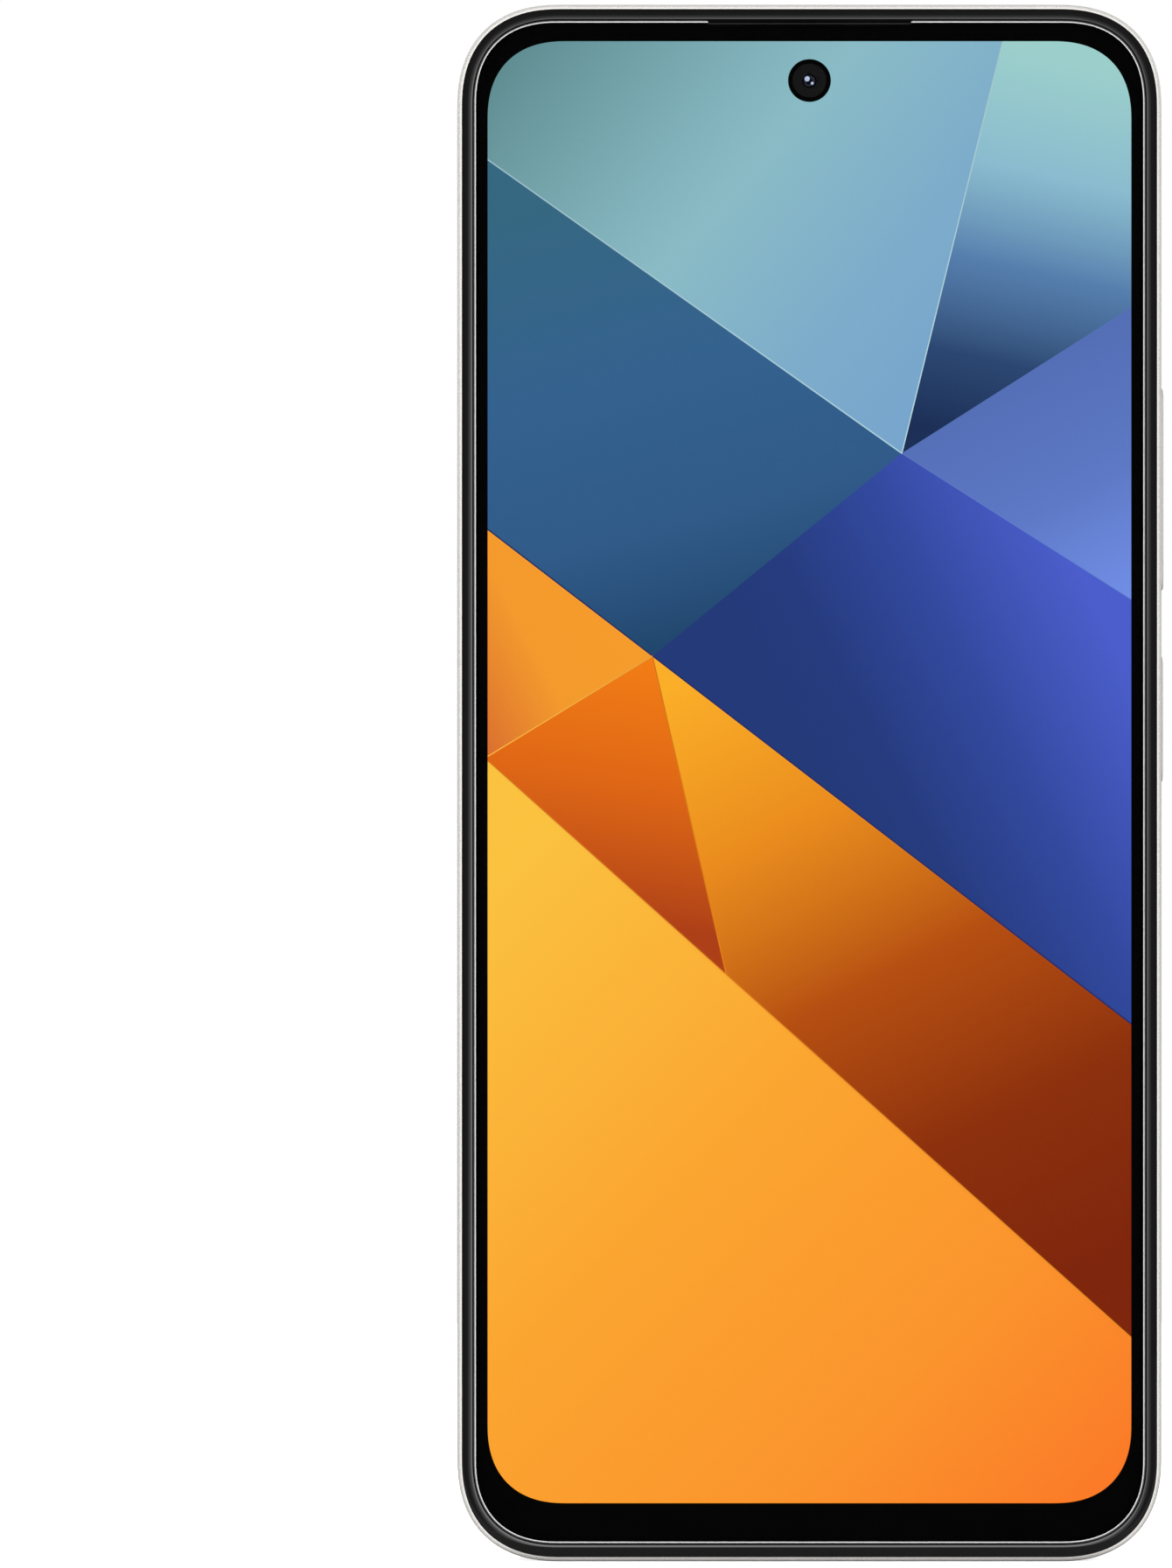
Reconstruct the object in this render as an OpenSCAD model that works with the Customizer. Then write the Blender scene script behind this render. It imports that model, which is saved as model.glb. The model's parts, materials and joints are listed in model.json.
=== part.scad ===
// A slab smartphone, drawn as its separate pieces. It stands on its bottom edge:
// the screen faces -Y, the cameras face +Y, the keys are on the +X side and +Z is up.
// Every piece is drawn lying down first, in a drawing frame of its own: x to the right
// as seen from the front, y up the phone from its bottom edge, z out of the screen.
// upright() then stands that drawing up.

/* [Body] */
// Width over the side frame, without the keys
body_w = 76.3; // [74:0.1:80]
// Height over the side frame
body_h = 168.6; // [165:0.1:172]
// Thickness from the cover glass to the back cover
body_t = 8.3; // [8.2:0.05:8.4]
// Corner radius of the outline
corner_r = 9.8; // [9:0.1:10.5]
// Thickness of the side frame's wall
wall = 2.4; // [2.3:0.05:2.5]
// Rounding of the frame's back edge
back_edge_r = 1.1; // [0.8:0.05:1.15]
// Rounding of the frame's front edge
front_edge_r = 0.5; // [0.3:0.05:0.6]

/* [Front] */
// Width of the cover glass
glass_w = 72.8; // [72:0.1:72.8]
// Lower edge of the cover glass above the bottom of the phone
glass_bottom = 1.95; // [1.95:0.05:2.4]
// Upper edge of the cover glass above the bottom of the phone
glass_top = 166.85; // [166.6:0.05:166.85]
// Corner radius of the cover glass
glass_r = 8; // [7.7:0.1:8.1]
// Thickness of the cover glass
glass_t = 0.7; // [0.7:0.05:0.75]
// Rounding of the front edge of the cover glass
glass_edge_r = 0.35; // [0.2:0.05:0.35]
// Length of the earpiece slit
slit_w = 23.3; // [20:0.1:26]
// Height of the front camera's centre
selfie_y = 160.35; // [160:0.05:160.6]
// Radius of the front camera's hole in the display
selfie_hole_r = 2.45; // [2.35:0.05:2.6]

/* [Back] */
// Gap between the side frame's rim and the back cover
cover_gap = 0.1; // [0.05:0.01:0.12]
// Width of the frame's rim around the back cover
rim_w = 1.17; // [1.15:0.01:1.2]
// Thickness of the back cover
cover_t = 0.75; // [0.7:0.05:0.8]
// How far the camera rings stand out of the back cover
ring_proud = 1.2; // [1.15:0.05:1.4]
// How far the flash ring stands out of the back cover
flash_proud = 0.8; // [0.75:0.05:1]

/* [Cameras] */
// Distance of both rear cameras from the middle of the phone
camera_x = 21.8; // [21.5:0.1:22]
// Height of the main camera's centre
main_y = 152.4; // [152:0.1:152.6]
// Height of the second camera's centre
second_y = 127.9; // [127.6:0.1:128.2]
// Outer radius of a camera ring
ring_r = 10.75; // [10.6:0.05:11]
// Radius of the glass in a camera ring
lens_glass_r = 8.95; // [8.9:0.05:9]
// Height of the flash ring's centre
flash_y = 140.1; // [139.8:0.1:140.3]
// Distance of the flash ring from the middle of the phone
flash_x = 1.75; // [1.5:0.05:2]
// Outer radius of the flash ring
flash_r = 7.35; // [7.2:0.05:7.4]

/* [Keys] */
// Height of the volume key's middle
volume_y = 116.2; // [115.9:0.1:116.4]
// Length of the volume key
volume_len = 21.95; // [21.5:0.05:22]
// Height of the power key's middle
power_y = 91.25; // [90:0.05:92]
// Length of the power key
power_len = 13.7; // [13.5:0.05:14]
// Thickness of a key, front to back
key_w = 2.4; // [2.2:0.05:2.5]
// How far the volume key stands out of the frame
volume_proud = 0.35; // [0.25:0.01:0.4]
// How far the power key stands out of the frame
power_proud = 0.3; // [0.25:0.01:0.4]

/* [Ports and holes] */
// Distance of the headphone socket from the middle of the phone
jack_x = -20; // [-20.5:0.1:-19.5]
// Radius of the headphone socket's bore
jack_r = 1.8; // [1.78:0.01:1.82]
// Number of openings in the loudspeaker's grille
grille_count = 6; // [4:1:6]
// Distance of the microphone hole in the bottom edge from the middle
bottom_mic_x = -9; // [-9.5:0.1:-8.5]
// Distance of the microphone hole in the top edge from the middle
top_mic_x = 6.2; // [6:0.1:6.4]
// Distance of the infrared window from the middle of the phone
ir_x = 16; // [15.5:0.1:16.5]

/* [Card tray] */
// Height of the card tray's middle
tray_y = 139; // [138.9:0.1:139.1]
// Length of the tray's face along the frame
tray_face = 15.8; // [15.6:0.1:15.9]
// Thickness of the tray's face, front to back
tray_face_w = 2.4; // [2.2:0.05:2.5]

/* [Battery] */
// Width of the battery
battery_w = 63.6; // [62:0.1:64]
// Lower edge of the battery
battery_bottom = 27.4; // [27.3:0.1:30]
// Upper edge of the battery
battery_top = 111.6; // [105:0.1:111.7]

/* [Hidden] */
$fn = 96;
// Overshoot of a cutter past the face that it cuts
eps = 0.5;

// Outline and levels, as z in the drawing frame
half_w = body_w/2;
half_t = body_t/2;
mid_y = body_h/2;
bay_x = half_w - wall;
cover_in = -half_t + cover_t;
cover_seat = cover_in + 0.1;
cover_edge = 0.3;
glass_in = half_t - glass_t;
lip_w = 0.48;
lip_top = 3.35;
bezel_seat = 2.6;
bezel_ledge = 2.95;
bezel_top = 4.06;
bezel_in = 3;
glass_gap = 0.05;
// The bezel's face is an arc around this centre, as the distance in from the frame's side
bezel_arc_in = 2.3;
bezel_arc_z = 1.7;
bezel_arc_r = 2.36;
panel_in = 3.1;
panel_back = 2.55;
diffuser_back = 2.05;
light_tray_back = 1.85;
light_tray_rim = 0.25;
plate_front = 1.75;
plate_back = 1.15;
bay_gap = 0.3;
flex_slot_x = [-9, 7];
flex_slot_y = [26.25, 26.9];
display_flex_x = [-8, 3.5];
display_flex_t = 0.07;
flex_t = 0.12;

// Slit over the screen
slit_bottom = 166.4;
slit_slant = 0.75;
mesh_gap = 0.04;
mesh_z = [3.55, 3.85];
duct_x = [-13.5, -5.5];
duct_y = [163.4, 165.9];
duct_h = 1;

// Camera rings, as radii around their axes
ring_flat_r = 9.75;
ring_edge = 0.5;
ring_seat_r = 8.2;
ring_sleeve_r = 9.3;
lens_glass_t = 0.5;
lens_glass_sunk = 0.2;
pane_gap = 0.02;
sleeve_z = -3.45;
hole_gap = 0.05;
flash_flat_r = 6.72;
flash_edge = 0.3;
flash_glass_r = 6.62;
flash_glass_t = 0.35;
flash_glass_sunk = 0.1;
flash_sleeve_r = 6.3;
flash_seat_r = 5.9;
diffuser_out = 5.46;
diffuser_in = 3.77;
diffuser_t = 0.3;
led_w = 1.6;
led_back = -3.9;
flash_board_w = 6.3;
flash_board_h = 12.6;

// Camera modules
main_w = 11;
main_bore_r = 3.6;
main_barrel_r = 3.5;
main_barrel_z = [-4.2, -1.1];
main_lens_z = [-4.1, -3.6];
main_back = -2.9;
main_floor = -0.9;
second_w = 8.4;
second_barrel_r = 2.6;
second_back = -2.2;
second_tip = -4.4;
second_lens_r = 1.3;
second_lens_z = [-4.3, -3.9];
module_front = 1;
lens_r = 1.7;
selfie_w = 6.4;
selfie_barrel_r = 2.2;
selfie_back = -1.8;
selfie_front = 1.1;
selfie_tip = 3.35;
selfie_lens_r = 0.8;
selfie_lens_z = [3, 3.3];

// Keys in the side wall
key_z = -0.2;
key_gap = 0.1;
key_shoulder = half_w - 1.2;
flange_t = 0.45;
flange_over = 0.6;
flange_w = 3.2;
pocket_gap = 0.2;
rock_room = 0.2;
press_room = 0.05;
post_r = 0.6;
volume_post = 7;
switch_top = 35.7;
rock_play = 0.12;
// Round bead in the flange that the key rocks on
rock_x = 36.5;
rock_bead_r = 0.35;
press_play = 0.25;
switch_t = 0.6;
switch_len = 2.8;
switch_w = 1.6;
key_flex_t = 0.2;
key_flex_y = [85.25, 127.2];
key_flex_z = [-1.5, 0.9];
sensor_len = 11.6;
sensor_w = 1.8;
sensor_t = 0.2;
sensor_sunk = 0.05;

// Boards and their covers
board_front = 0.6;
board_back = -0.2;
main_low = 113.4;
main_left = -35.2;
main_right = 34.4;
cut_gap = 0.4;
lid_back = -3.2;
lid_front = -2.5;
plug_t = 0.7;
can_t = 0.15;
can_h = 1.3;
screw_r = 0.6;
head_r = 1.2;
head_t = 0.35;
boss_r = 1.6;
thread_r = 0.65;
thread_floor = 0.3;
screw_end = 1.35;
screw_hole_r = 0.8;
sub_low = 2.9;
sub_top = 25.7;
sub_right = 12.7;
main_screws = [
    [-32.6, 116.5], [-32.6, 126.3], [-32.4, 150], [-27.5, 162], [-13, 152.5],
    [11.5, 162], [31.8, 160.3], [31.2, 140], [31.2, 120], [13.2, 126]
];
sub_screws = [[-32.4, 23.2], [-18, 6.5], [-14, 22.6], [8.5, 8], [9.8, 17.5]];

// Battery and cables
battery_z = [-3.05, 1.05];
battery_r = 1.5;
main_step = 112.4;
sub_step = 26.3;
plug_level = -1.05;

// Sockets and small holes
jack_z = -1.1;
jack_w = 6.4;
jack_low = 152;
jack_floor = 153;
jack_top = body_h - wall - 0.05;
jack_hole_r = 1.95;
jack_case_z = [-3.2, 1];
usb_z = -0.5;
usb_w = 8.94;
usb_t = 3.16;
usb_wall = 0.3;
usb_mouth = 0.35;
usb_end = 7.75;
usb_floor = 7;
usb_gap = 0.13;
tongue_w = 6.69;
tongue_t = 0.7;
tongue_tip = 2.2;
grille_x = 14.9;
grille_pitch = 2.3;
grille_len = 1.5;
grille_w = 1;
grille_z = -0.5;
grille_over = 0.4;
weave_t = 0.15;
mic_hole_r = 0.5;
mic_z = -0.7;
ir_r = 1.1;
ir_gap = 0.02;

// Card tray and its eject lever
tray_z = -1;
tray_gap = 0.1;
tray_root = -bay_x - 0.4;
tray_end = -8.6;
tray_w = 14.6;
tray_front = -0.6;
tray_back = -1.4;
card_len = 12.3;
card_w = 8.8;
card_ledge = 1;
card_floor = 0.25;
card_pitch = 13.2;
card_x = -29;
base_x = [-34.9, -4];
base_y = [128.3, 146.9];
base_front = -0.2;
base_back = -0.5;
cage_x = [-35.2, -10];
cage_back = -1.75;
cage_in = 7.45;
rod_y = 129.2;
rod_w = 0.9;
rod_start = -35.1;
rod_end = -7.05;
eject_hole_r = 0.5;
pivot_x = -6.2;
pivot_y = 134;
pivot_r = 0.5;
pivot_gap = 0.05;
lever_w = 1.4;
lever_hub_r = 1.2;
lever_low = 128.6;
lever_top = 139;

// Loudspeaker, receiver and motor
speaker_x = 13.1;
speaker_top = 26.2;
speaker_low = 3;
speaker_back = -3.1;
speaker_front = 1.05;
speaker_wall = 0.5;
port_x = [14, 27.4];
port_y = [2, 4];
port_z = [-1.2, 0.2];
driver_x = [17, 31];
driver_y = [9, 24.5];
driver_front = -1.1;
driver_step_z = -2.1;
driver_step = 3;
cone_z = [-0.65, -0.4];
cone_gap = 0.7;
cone_r = 3;
receiver_x = [-15.4, -4];
receiver_y = [158.8, 164.8];
receiver_z = [-2, 1];
receiver_wall = 0.3;
receiver_film_z = [0.1, 0.25];
film_gap = 0.25;
magnet_x = [-12.5, -6.9];
magnet_y = [160.4, 163.2];
magnet_front = -0.8;
motor_x = -27;
motor_y = 14;
motor_r = 4.5;
motor_z = [-1.9, 1];
motor_wall = 0.25;
motor_pin_r = 0.4;
rotor_r = 3.8;
rotor_hub_r = 1.1;
rotor_gap = 0.7;
pin_gap = 0.05;

// Stands a drawing up: y goes to +Z, and z, out of the screen, goes to -Y.
module upright() {
    rotate([90, 0, 0]) children();
}

// Turns a 2D outline to face along +x: its x runs towards the back, its y up the phone.
module facing_x(x, y, z) {
    translate([x, y, z]) rotate([0, 90, 0]) children();
}

// Turns a 2D outline to face up the phone: its y runs towards the back.
module facing_y(x, y, z) {
    translate([x, y, z]) rotate([-90, 0, 0]) children();
}

module rounded_rect(w, h, r) {
    square([w - 2*r, h], center = true);
    square([w, h - 2*r], center = true);
    for (sx = [-1, 1], sy = [-1, 1])
        translate([sx*(w/2 - r), sy*(h/2 - r)]) circle(r);
}

// A slot with round ends, its long side along y.
module pill(length, w) {
    rounded_rect(w, length, w/2 - 0.001);
}

module block(x, y, z) {
    translate([x[0], y[0], z[0]]) cube([x[1] - x[0], y[1] - y[0], z[1] - z[0]]);
}

// A block around the point (x, y), between two levels.
module centred_block(x, y, w, h, z) {
    block([x - w/2, x + w/2], [y - h/2, y + h/2], z);
}

module disc(x, y, r, z) {
    translate([x, y, z[0]]) cylinder(r = r, h = z[1] - z[0]);
}

module tube(x, y, r_out, r_in, z) {
    difference() {
        disc(x, y, r_out, z);
        disc(x, y, r_in, [z[0] - eps, z[1] + eps]);
    }
}

// Runs a 2D profile round a rounded rectangle. The profile's x is r at the outer face.
module ring_sweep(w, h, r) {
    for (i = [0:3]) {
        run = i%2 == 0 ? h - 2*r : w - 2*r;
        reach = i%2 == 0 ? w/2 - r : h/2 - r;
        rotate([0, 0, 90*i]) translate([reach, run/2, 0]) {
            rotate([90, 0, 0]) linear_extrude(run) children();
            rotate_extrude(angle = 90) children();
        }
    }
}

// The inside of the side frame, drawn in by gap.
module bay_outline(gap) {
    in = wall + gap;
    translate([0, mid_y]) rounded_rect(body_w - 2*in, body_h - 2*in, corner_r - in);
}

// A plate between two levels that keeps clear of the side frame by gap.
module bay_plate(x, y, z, gap = bay_gap) {
    translate([0, 0, z[0]]) linear_extrude(z[1] - z[0]) intersection() {
        bay_outline(gap);
        translate([x[0], y[0]]) square([x[1] - x[0], y[1] - y[0]]);
    }
}

// A slab with the outline of the glass or of a cover, rounded on its outer edge.
module soft_slab(w, h, r, edge, z, rounded_front) {
    turn = rounded_front ? 1 : -1;
    outer = rounded_front ? z[1] : z[0];
    round_z = outer - turn*edge;
    ring_sweep(w, h, r) {
        translate([0, z[0] + (rounded_front ? 0 : edge)]) square([r, z[1] - z[0] - edge]);
        translate([0, z[0]]) square([r - edge, z[1] - z[0]]);
        translate([r - edge, round_z]) circle(edge);
    }
    block([r - w/2, w/2 - r], [r - h/2, h/2 - r], z);
}

// ---------------------------------------------------------------- casing

module frame_profile() {
    back = -half_t;
    difference() {
        union() {
            translate([corner_r - wall, back + back_edge_r])
                square([wall, lip_top - front_edge_r - back - back_edge_r]);
            translate([corner_r - wall, back]) square([wall - back_edge_r, body_t/2]);
            translate([corner_r - back_edge_r, back + back_edge_r]) circle(back_edge_r);
            translate([corner_r - wall, 0]) square([wall - front_edge_r, lip_top]);
            translate([corner_r - front_edge_r, lip_top - front_edge_r]) circle(front_edge_r);
        }
        translate([corner_r - wall - eps, back - eps])
            square([wall + eps - rim_w, cover_seat - back + eps]);
        translate([corner_r - wall - eps, bezel_seat])
            square([wall + eps - lip_w, lip_top - bezel_seat + eps]);
    }
}

// The opening for a key: a slot for its cap and a wider pocket behind for its flange.
module key_opening(y, length) {
    facing_x(key_shoulder, y, key_z) linear_extrude(wall)
        pill(length + 2*key_gap, key_w + 2*key_gap);
    facing_x(bay_x - eps, y, key_z) linear_extrude(key_shoulder - bay_x + eps)
        square([flange_w + 2*pocket_gap, length + 2*(flange_over + pocket_gap)], center = true);
}

module grille_openings() {
    for (i = [0:grille_count - 1])
        facing_y(grille_x + i*grille_pitch, -eps, grille_z) linear_extrude(wall + 2*eps)
            rotate([0, 0, 90]) pill(grille_len, grille_w);
}

module usb_outline(grow) {
    rotate([0, 0, 90]) pill(usb_w + 2*grow, usb_t + 2*grow);
}

module side_frame() {
    color("gainsboro") upright() difference() {
        translate([0, mid_y, 0]) ring_sweep(body_w, body_h, corner_r) frame_profile();
        key_opening(volume_y, volume_len);
        key_opening(power_y, power_len);
        grille_openings();
        facing_y(0, -eps, usb_z) linear_extrude(wall + 2*eps) usb_outline(usb_gap);
        facing_y(bottom_mic_x, -eps, mic_z) cylinder(r = mic_hole_r, h = wall + 2*eps);
        for (hole = [[top_mic_x, mic_z, mic_hole_r], [jack_x, jack_z, jack_hole_r], [ir_x, mic_z, ir_r]])
            facing_y(hole[0], body_h - wall - eps, hole[1]) cylinder(r = hole[2], h = wall + 2*eps);
        facing_x(-half_w - eps, tray_y, tray_z) linear_extrude(wall + 2*eps)
            pill(tray_face + 2*tray_gap, tray_face_w + 2*tray_gap);
        facing_x(-half_w - eps, rod_y, tray_z) cylinder(r = eject_hole_r, h = wall + 2*eps);
    }
}

module bezel_profile() {
    intersection() {
        translate([corner_r - bezel_arc_in, bezel_arc_z]) circle(bezel_arc_r);
        translate([corner_r - bezel_arc_in, bezel_seat])
            square([bezel_arc_in - lip_w, bezel_top - bezel_seat]);
    }
    translate([corner_r - wall, bezel_seat])
        square([wall - bezel_arc_in, bezel_top - bezel_seat]);
    translate([corner_r - bezel_in, bezel_ledge])
        square([bezel_in - wall, bezel_top - bezel_ledge]);
}

// The outline of the cover glass, grown by gap.
module glass_outline(gap) {
    h = glass_top - glass_bottom;
    translate([0, glass_bottom + h/2]) rounded_rect(glass_w + 2*gap, h + 2*gap, glass_r + gap);
}

// The slit at the top of the screen, with slanted ends. It is drawn in by gap, and runs on past
// the edge of the glass by rise.
module slit_outline(gap, rise) {
    wide = slit_w/2 - gap + slit_slant*rise/(glass_top - slit_bottom);
    narrow = slit_w/2 - gap - slit_slant;
    low = slit_bottom + gap;
    top = glass_top + rise;
    polygon([[-narrow, low], [narrow, low], [wide, top], [-wide, top]]);
}

module front_bezel() {
    color("black") upright() difference() {
        translate([0, mid_y, 0]) ring_sweep(body_w, body_h, corner_r) bezel_profile();
        translate([0, 0, glass_in]) linear_extrude(glass_t + eps) glass_outline(glass_gap);
        block(duct_x, [glass_top - duct_h, glass_top - 0.1], [bezel_seat - eps, glass_in + eps]);
    }
}

module cover_glass() {
    h = glass_top - glass_bottom;
    color([0.1, 0.12, 0.2]) upright() difference() {
        translate([0, glass_bottom + h/2, 0])
            soft_slab(glass_w, h, glass_r, glass_edge_r, [glass_in, half_t], true);
        translate([0, 0, glass_in - eps]) linear_extrude(glass_t + 2*eps)
            slit_outline(0, eps);
    }
}

module back_cover() {
    in = rim_w + cover_gap;
    color("lightgray") upright() difference() {
        translate([0, mid_y, 0])
            soft_slab(body_w - 2*in, body_h - 2*in, corner_r - in, cover_edge, [-half_t, cover_in], false);
        for (y = [main_y, second_y])
            disc(camera_x, y, ring_sleeve_r + hole_gap, [-half_t - eps, cover_in + eps]);
        disc(flash_x, flash_y, flash_sleeve_r + hole_gap, [-half_t - eps, cover_in + eps]);
    }
}

module back_adhesive() {
    out = rim_w + 0.2;
    in = wall - 0.1;
    color("dimgray") upright() translate([0, mid_y, 0]) ring_sweep(body_w, body_h, corner_r)
        translate([corner_r - in, cover_in]) square([in - out, cover_seat - cover_in]);
}

module mid_plate() {
    color("silver") upright() difference() {
        union() {
            bay_plate([-half_w, half_w], [0, body_h], [plate_back, plate_front], 0);
            for (p = concat(main_screws, sub_screws))
                disc(p[0], p[1], boss_r, [board_front, plate_front]);
        }
        disc(0, selfie_y, selfie_hole_r, [0, panel_back]);
        block(flex_slot_x, flex_slot_y, [0, panel_back]);
        block(duct_x, duct_y, [0, panel_back]);
        for (p = concat(main_screws, sub_screws))
            disc(p[0], p[1], thread_r, [board_front - eps, plate_front - thread_floor]);
    }
}

// ---------------------------------------------------------------- display

// A plate of the display stack, inset by in, with the front camera's hole.
module display_plate(in, z) {
    difference() {
        translate([0, mid_y, z[0]]) linear_extrude(z[1] - z[0])
            rounded_rect(body_w - 2*in, body_h - 2*in, corner_r - in);
        disc(0, selfie_y, selfie_hole_r, [z[0] - eps, z[1] + eps]);
    }
}

module display_panel() {
    color("midnightblue") upright() display_plate(panel_in, [panel_back, glass_in]);
}

module diffuser_stack() {
    color("white") upright() display_plate(panel_in + light_tray_rim, [diffuser_back, panel_back]);
}

module backlight_tray() {
    in = panel_in + light_tray_rim;
    color("whitesmoke") upright() difference() {
        display_plate(panel_in, [light_tray_back, panel_back]);
        translate([0, mid_y, diffuser_back]) linear_extrude(panel_back)
            rounded_rect(body_w - 2*in, body_h - 2*in, corner_r - in);
    }
}

// A flat cable: a strip of thickness t that follows a path of [y, z] corners.
module ribbon(x, path, t) {
    translate([x[0], 0, 0]) rotate([90, 0, 90]) linear_extrude(x[1] - x[0])
        for (i = [0:len(path) - 2])
            translate([min(path[i][0], path[i + 1][0]), min(path[i][1], path[i + 1][1])])
                square([abs(path[i + 1][0] - path[i][0]) + t, abs(path[i + 1][1] - path[i][1]) + t]);
}

module display_flex() {
    ends = [8, 21.5];
    bend = 26.5;
    under = 1.77;
    plug = -1;
    path = [[ends[0], under], [bend, under], [bend, plug], [ends[1], plug]];
    color("darkgoldenrod") upright() ribbon(display_flex_x, path, display_flex_t);
}

module earpiece_mesh() {
    color("dimgray") upright() translate([0, 0, mesh_z[0]]) linear_extrude(mesh_z[1] - mesh_z[0])
        slit_outline(mesh_gap, 0);
}

// A shallow round or square-cornered case with a cavity, open towards the front.
module cavity_case(x, y, z, t) {
    difference() {
        block(x, y, z);
        block([x[0] + t, x[1] - t], [y[0] + t, y[1] - t], [z[0] + t, z[1] + eps]);
    }
}

module receiver_case() {
    color("dimgray") upright() {
        cavity_case(receiver_x, receiver_y, receiver_z, receiver_wall);
        block(magnet_x, magnet_y, [receiver_z[0] + receiver_wall, magnet_front]);
    }
}

module receiver_diaphragm() {
    in = receiver_wall + film_gap;
    color("silver") upright() block(
        [receiver_x[0] + in, receiver_x[1] - in],
        [receiver_y[0] + in, receiver_y[1] - in],
        receiver_film_z
    );
}

// ---------------------------------------------------------------- cameras

module front_camera() {
    color("black") upright() difference() {
        union() {
            centred_block(0, selfie_y, selfie_w, selfie_w, [selfie_back, selfie_front]);
            disc(0, selfie_y, selfie_barrel_r, [selfie_front, selfie_tip]);
        }
        disc(0, selfie_y, selfie_lens_r, [selfie_lens_z[0], glass_in]);
    }
}

module front_lens() {
    color("slateblue") upright() disc(0, selfie_y, selfie_lens_r, selfie_lens_z);
}

// A camera's trim ring, revolved around the camera's axis.
module trim_ring(at, out_r, flat_r, edge, proud, seat_r, glass_r, glass_sunk, glass_thick, sleeve_r) {
    back = -half_t - proud;
    glass_back = back + glass_sunk;
    seat = glass_back + glass_thick;
    translate([at[0], at[1], 0]) rotate_extrude() polygon([
        [out_r, -half_t], [out_r, back + edge], [out_r - edge, back], [flat_r, back],
        [glass_r + pane_gap, glass_back], [glass_r + pane_gap, seat], [seat_r, seat],
        [seat_r, sleeve_z], [sleeve_r, sleeve_z], [sleeve_r, -half_t]
    ]);
}

module camera_ring(y) {
    upright() trim_ring([camera_x, y], ring_r, ring_flat_r, ring_edge, ring_proud, ring_seat_r,
        lens_glass_r, lens_glass_sunk, lens_glass_t, ring_sleeve_r);
}

// The black cover glass of a rear camera
module camera_window(y) {
    back = -half_t - ring_proud + lens_glass_sunk;
    upright() disc(camera_x, y, lens_glass_r, [back, back + lens_glass_t]);
}

module upper_ring() {
    color("silver") camera_ring(main_y);
}

module upper_glass() {
    color("black") camera_window(main_y);
}

module lower_ring() {
    color("silver") camera_ring(second_y);
}

module lower_glass() {
    color("black") camera_window(second_y);
}

module flash_ring() {
    color("silver") upright() trim_ring([flash_x, flash_y], flash_r, flash_flat_r, flash_edge,
        flash_proud, flash_seat_r, flash_glass_r, flash_glass_sunk, flash_glass_t, flash_sleeve_r);
}

module flash_glass() {
    back = -half_t - flash_proud + flash_glass_sunk;
    color("black") upright() disc(flash_x, flash_y, flash_glass_r, [back, back + flash_glass_t]);
}

module flash_diffuser() {
    back = -half_t - flash_proud + flash_glass_sunk + flash_glass_t;
    color("ivory") upright() tube(flash_x, flash_y, diffuser_out, diffuser_in, [back, back + diffuser_t]);
}

module flash_leds() {
    led_y = (diffuser_out + diffuser_in)/2;
    color("khaki") upright() for (s = [-1, 1])
        centred_block(flash_x, flash_y + s*led_y, led_w, led_w, [led_back, cover_in]);
}

module flash_board() {
    color("seagreen") upright()
        centred_block(flash_x, flash_y, flash_board_w, flash_board_h, [cover_in, lid_back]);
}

module main_camera() {
    color("dimgray") upright() difference() {
        centred_block(camera_x, main_y, main_w, main_w, [main_back, module_front]);
        disc(camera_x, main_y, main_bore_r, [main_back - eps, main_floor]);
    }
}

module main_barrel() {
    color("black") upright() difference() {
        disc(camera_x, main_y, main_barrel_r, main_barrel_z);
        disc(camera_x, main_y, lens_r, [main_barrel_z[0] - eps, main_lens_z[1]]);
    }
}

module main_lens() {
    color("slateblue") upright() disc(camera_x, main_y, lens_r, main_lens_z);
}

module second_camera() {
    color("black") upright() difference() {
        union() {
            centred_block(camera_x, second_y, second_w, second_w, [second_back, module_front]);
            disc(camera_x, second_y, second_barrel_r, [second_tip, second_back]);
        }
        disc(camera_x, second_y, second_lens_r, [second_tip - eps, second_lens_z[1]]);
    }
}

module second_lens() {
    color("slateblue") upright() disc(camera_x, second_y, second_lens_r, second_lens_z);
}

// ---------------------------------------------------------------- boards

// Openings that the mainboard and its cover share, cut through between the levels z.
module board_cutouts(z) {
    main_hole = main_w + 2*cut_gap;
    second_hole = second_w + 2*cut_gap;
    jack_half = jack_w/2 + cut_gap;
    centred_block(camera_x, main_y, main_hole, main_hole, z);
    centred_block(camera_x, second_y, second_hole, second_hole, z);
    block([jack_x - jack_half, jack_x + jack_half], [jack_low - cut_gap, body_h], z);
}

module screw_holes(screws, z) {
    for (p = screws)
        disc(p[0], p[1], screw_hole_r, z);
}

module mainboard() {
    half = selfie_w/2 + cut_gap;
    z = [board_back - eps, board_front + eps];
    color("darkgreen") upright() difference() {
        bay_plate([main_left, main_right], [main_low, body_h], [board_back, board_front]);
        board_cutouts(z);
        block([-half, half], [selfie_y - half, body_h], z);
        block([receiver_x[0] - cut_gap, -half], [receiver_y[0] - cut_gap, body_h], z);
        screw_holes(main_screws, z);
    }
}

// A stamped shield, open towards the board.
module shield_can(x, y) {
    back = board_back - can_h;
    difference() {
        block(x, y, [back, board_back]);
        block([x[0] + can_t, x[1] - can_t], [y[0] + can_t, y[1] - can_t], [back + can_t, board_back + eps]);
    }
}

module shield_cans() {
    spots = [[[-30.4, 1], [114.6, 128]], [[-8, 13.6], [147.8, 156.2]]];
    color("silver") upright() for (s = spots)
        shield_can(s[0], s[1]);
}

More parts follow.
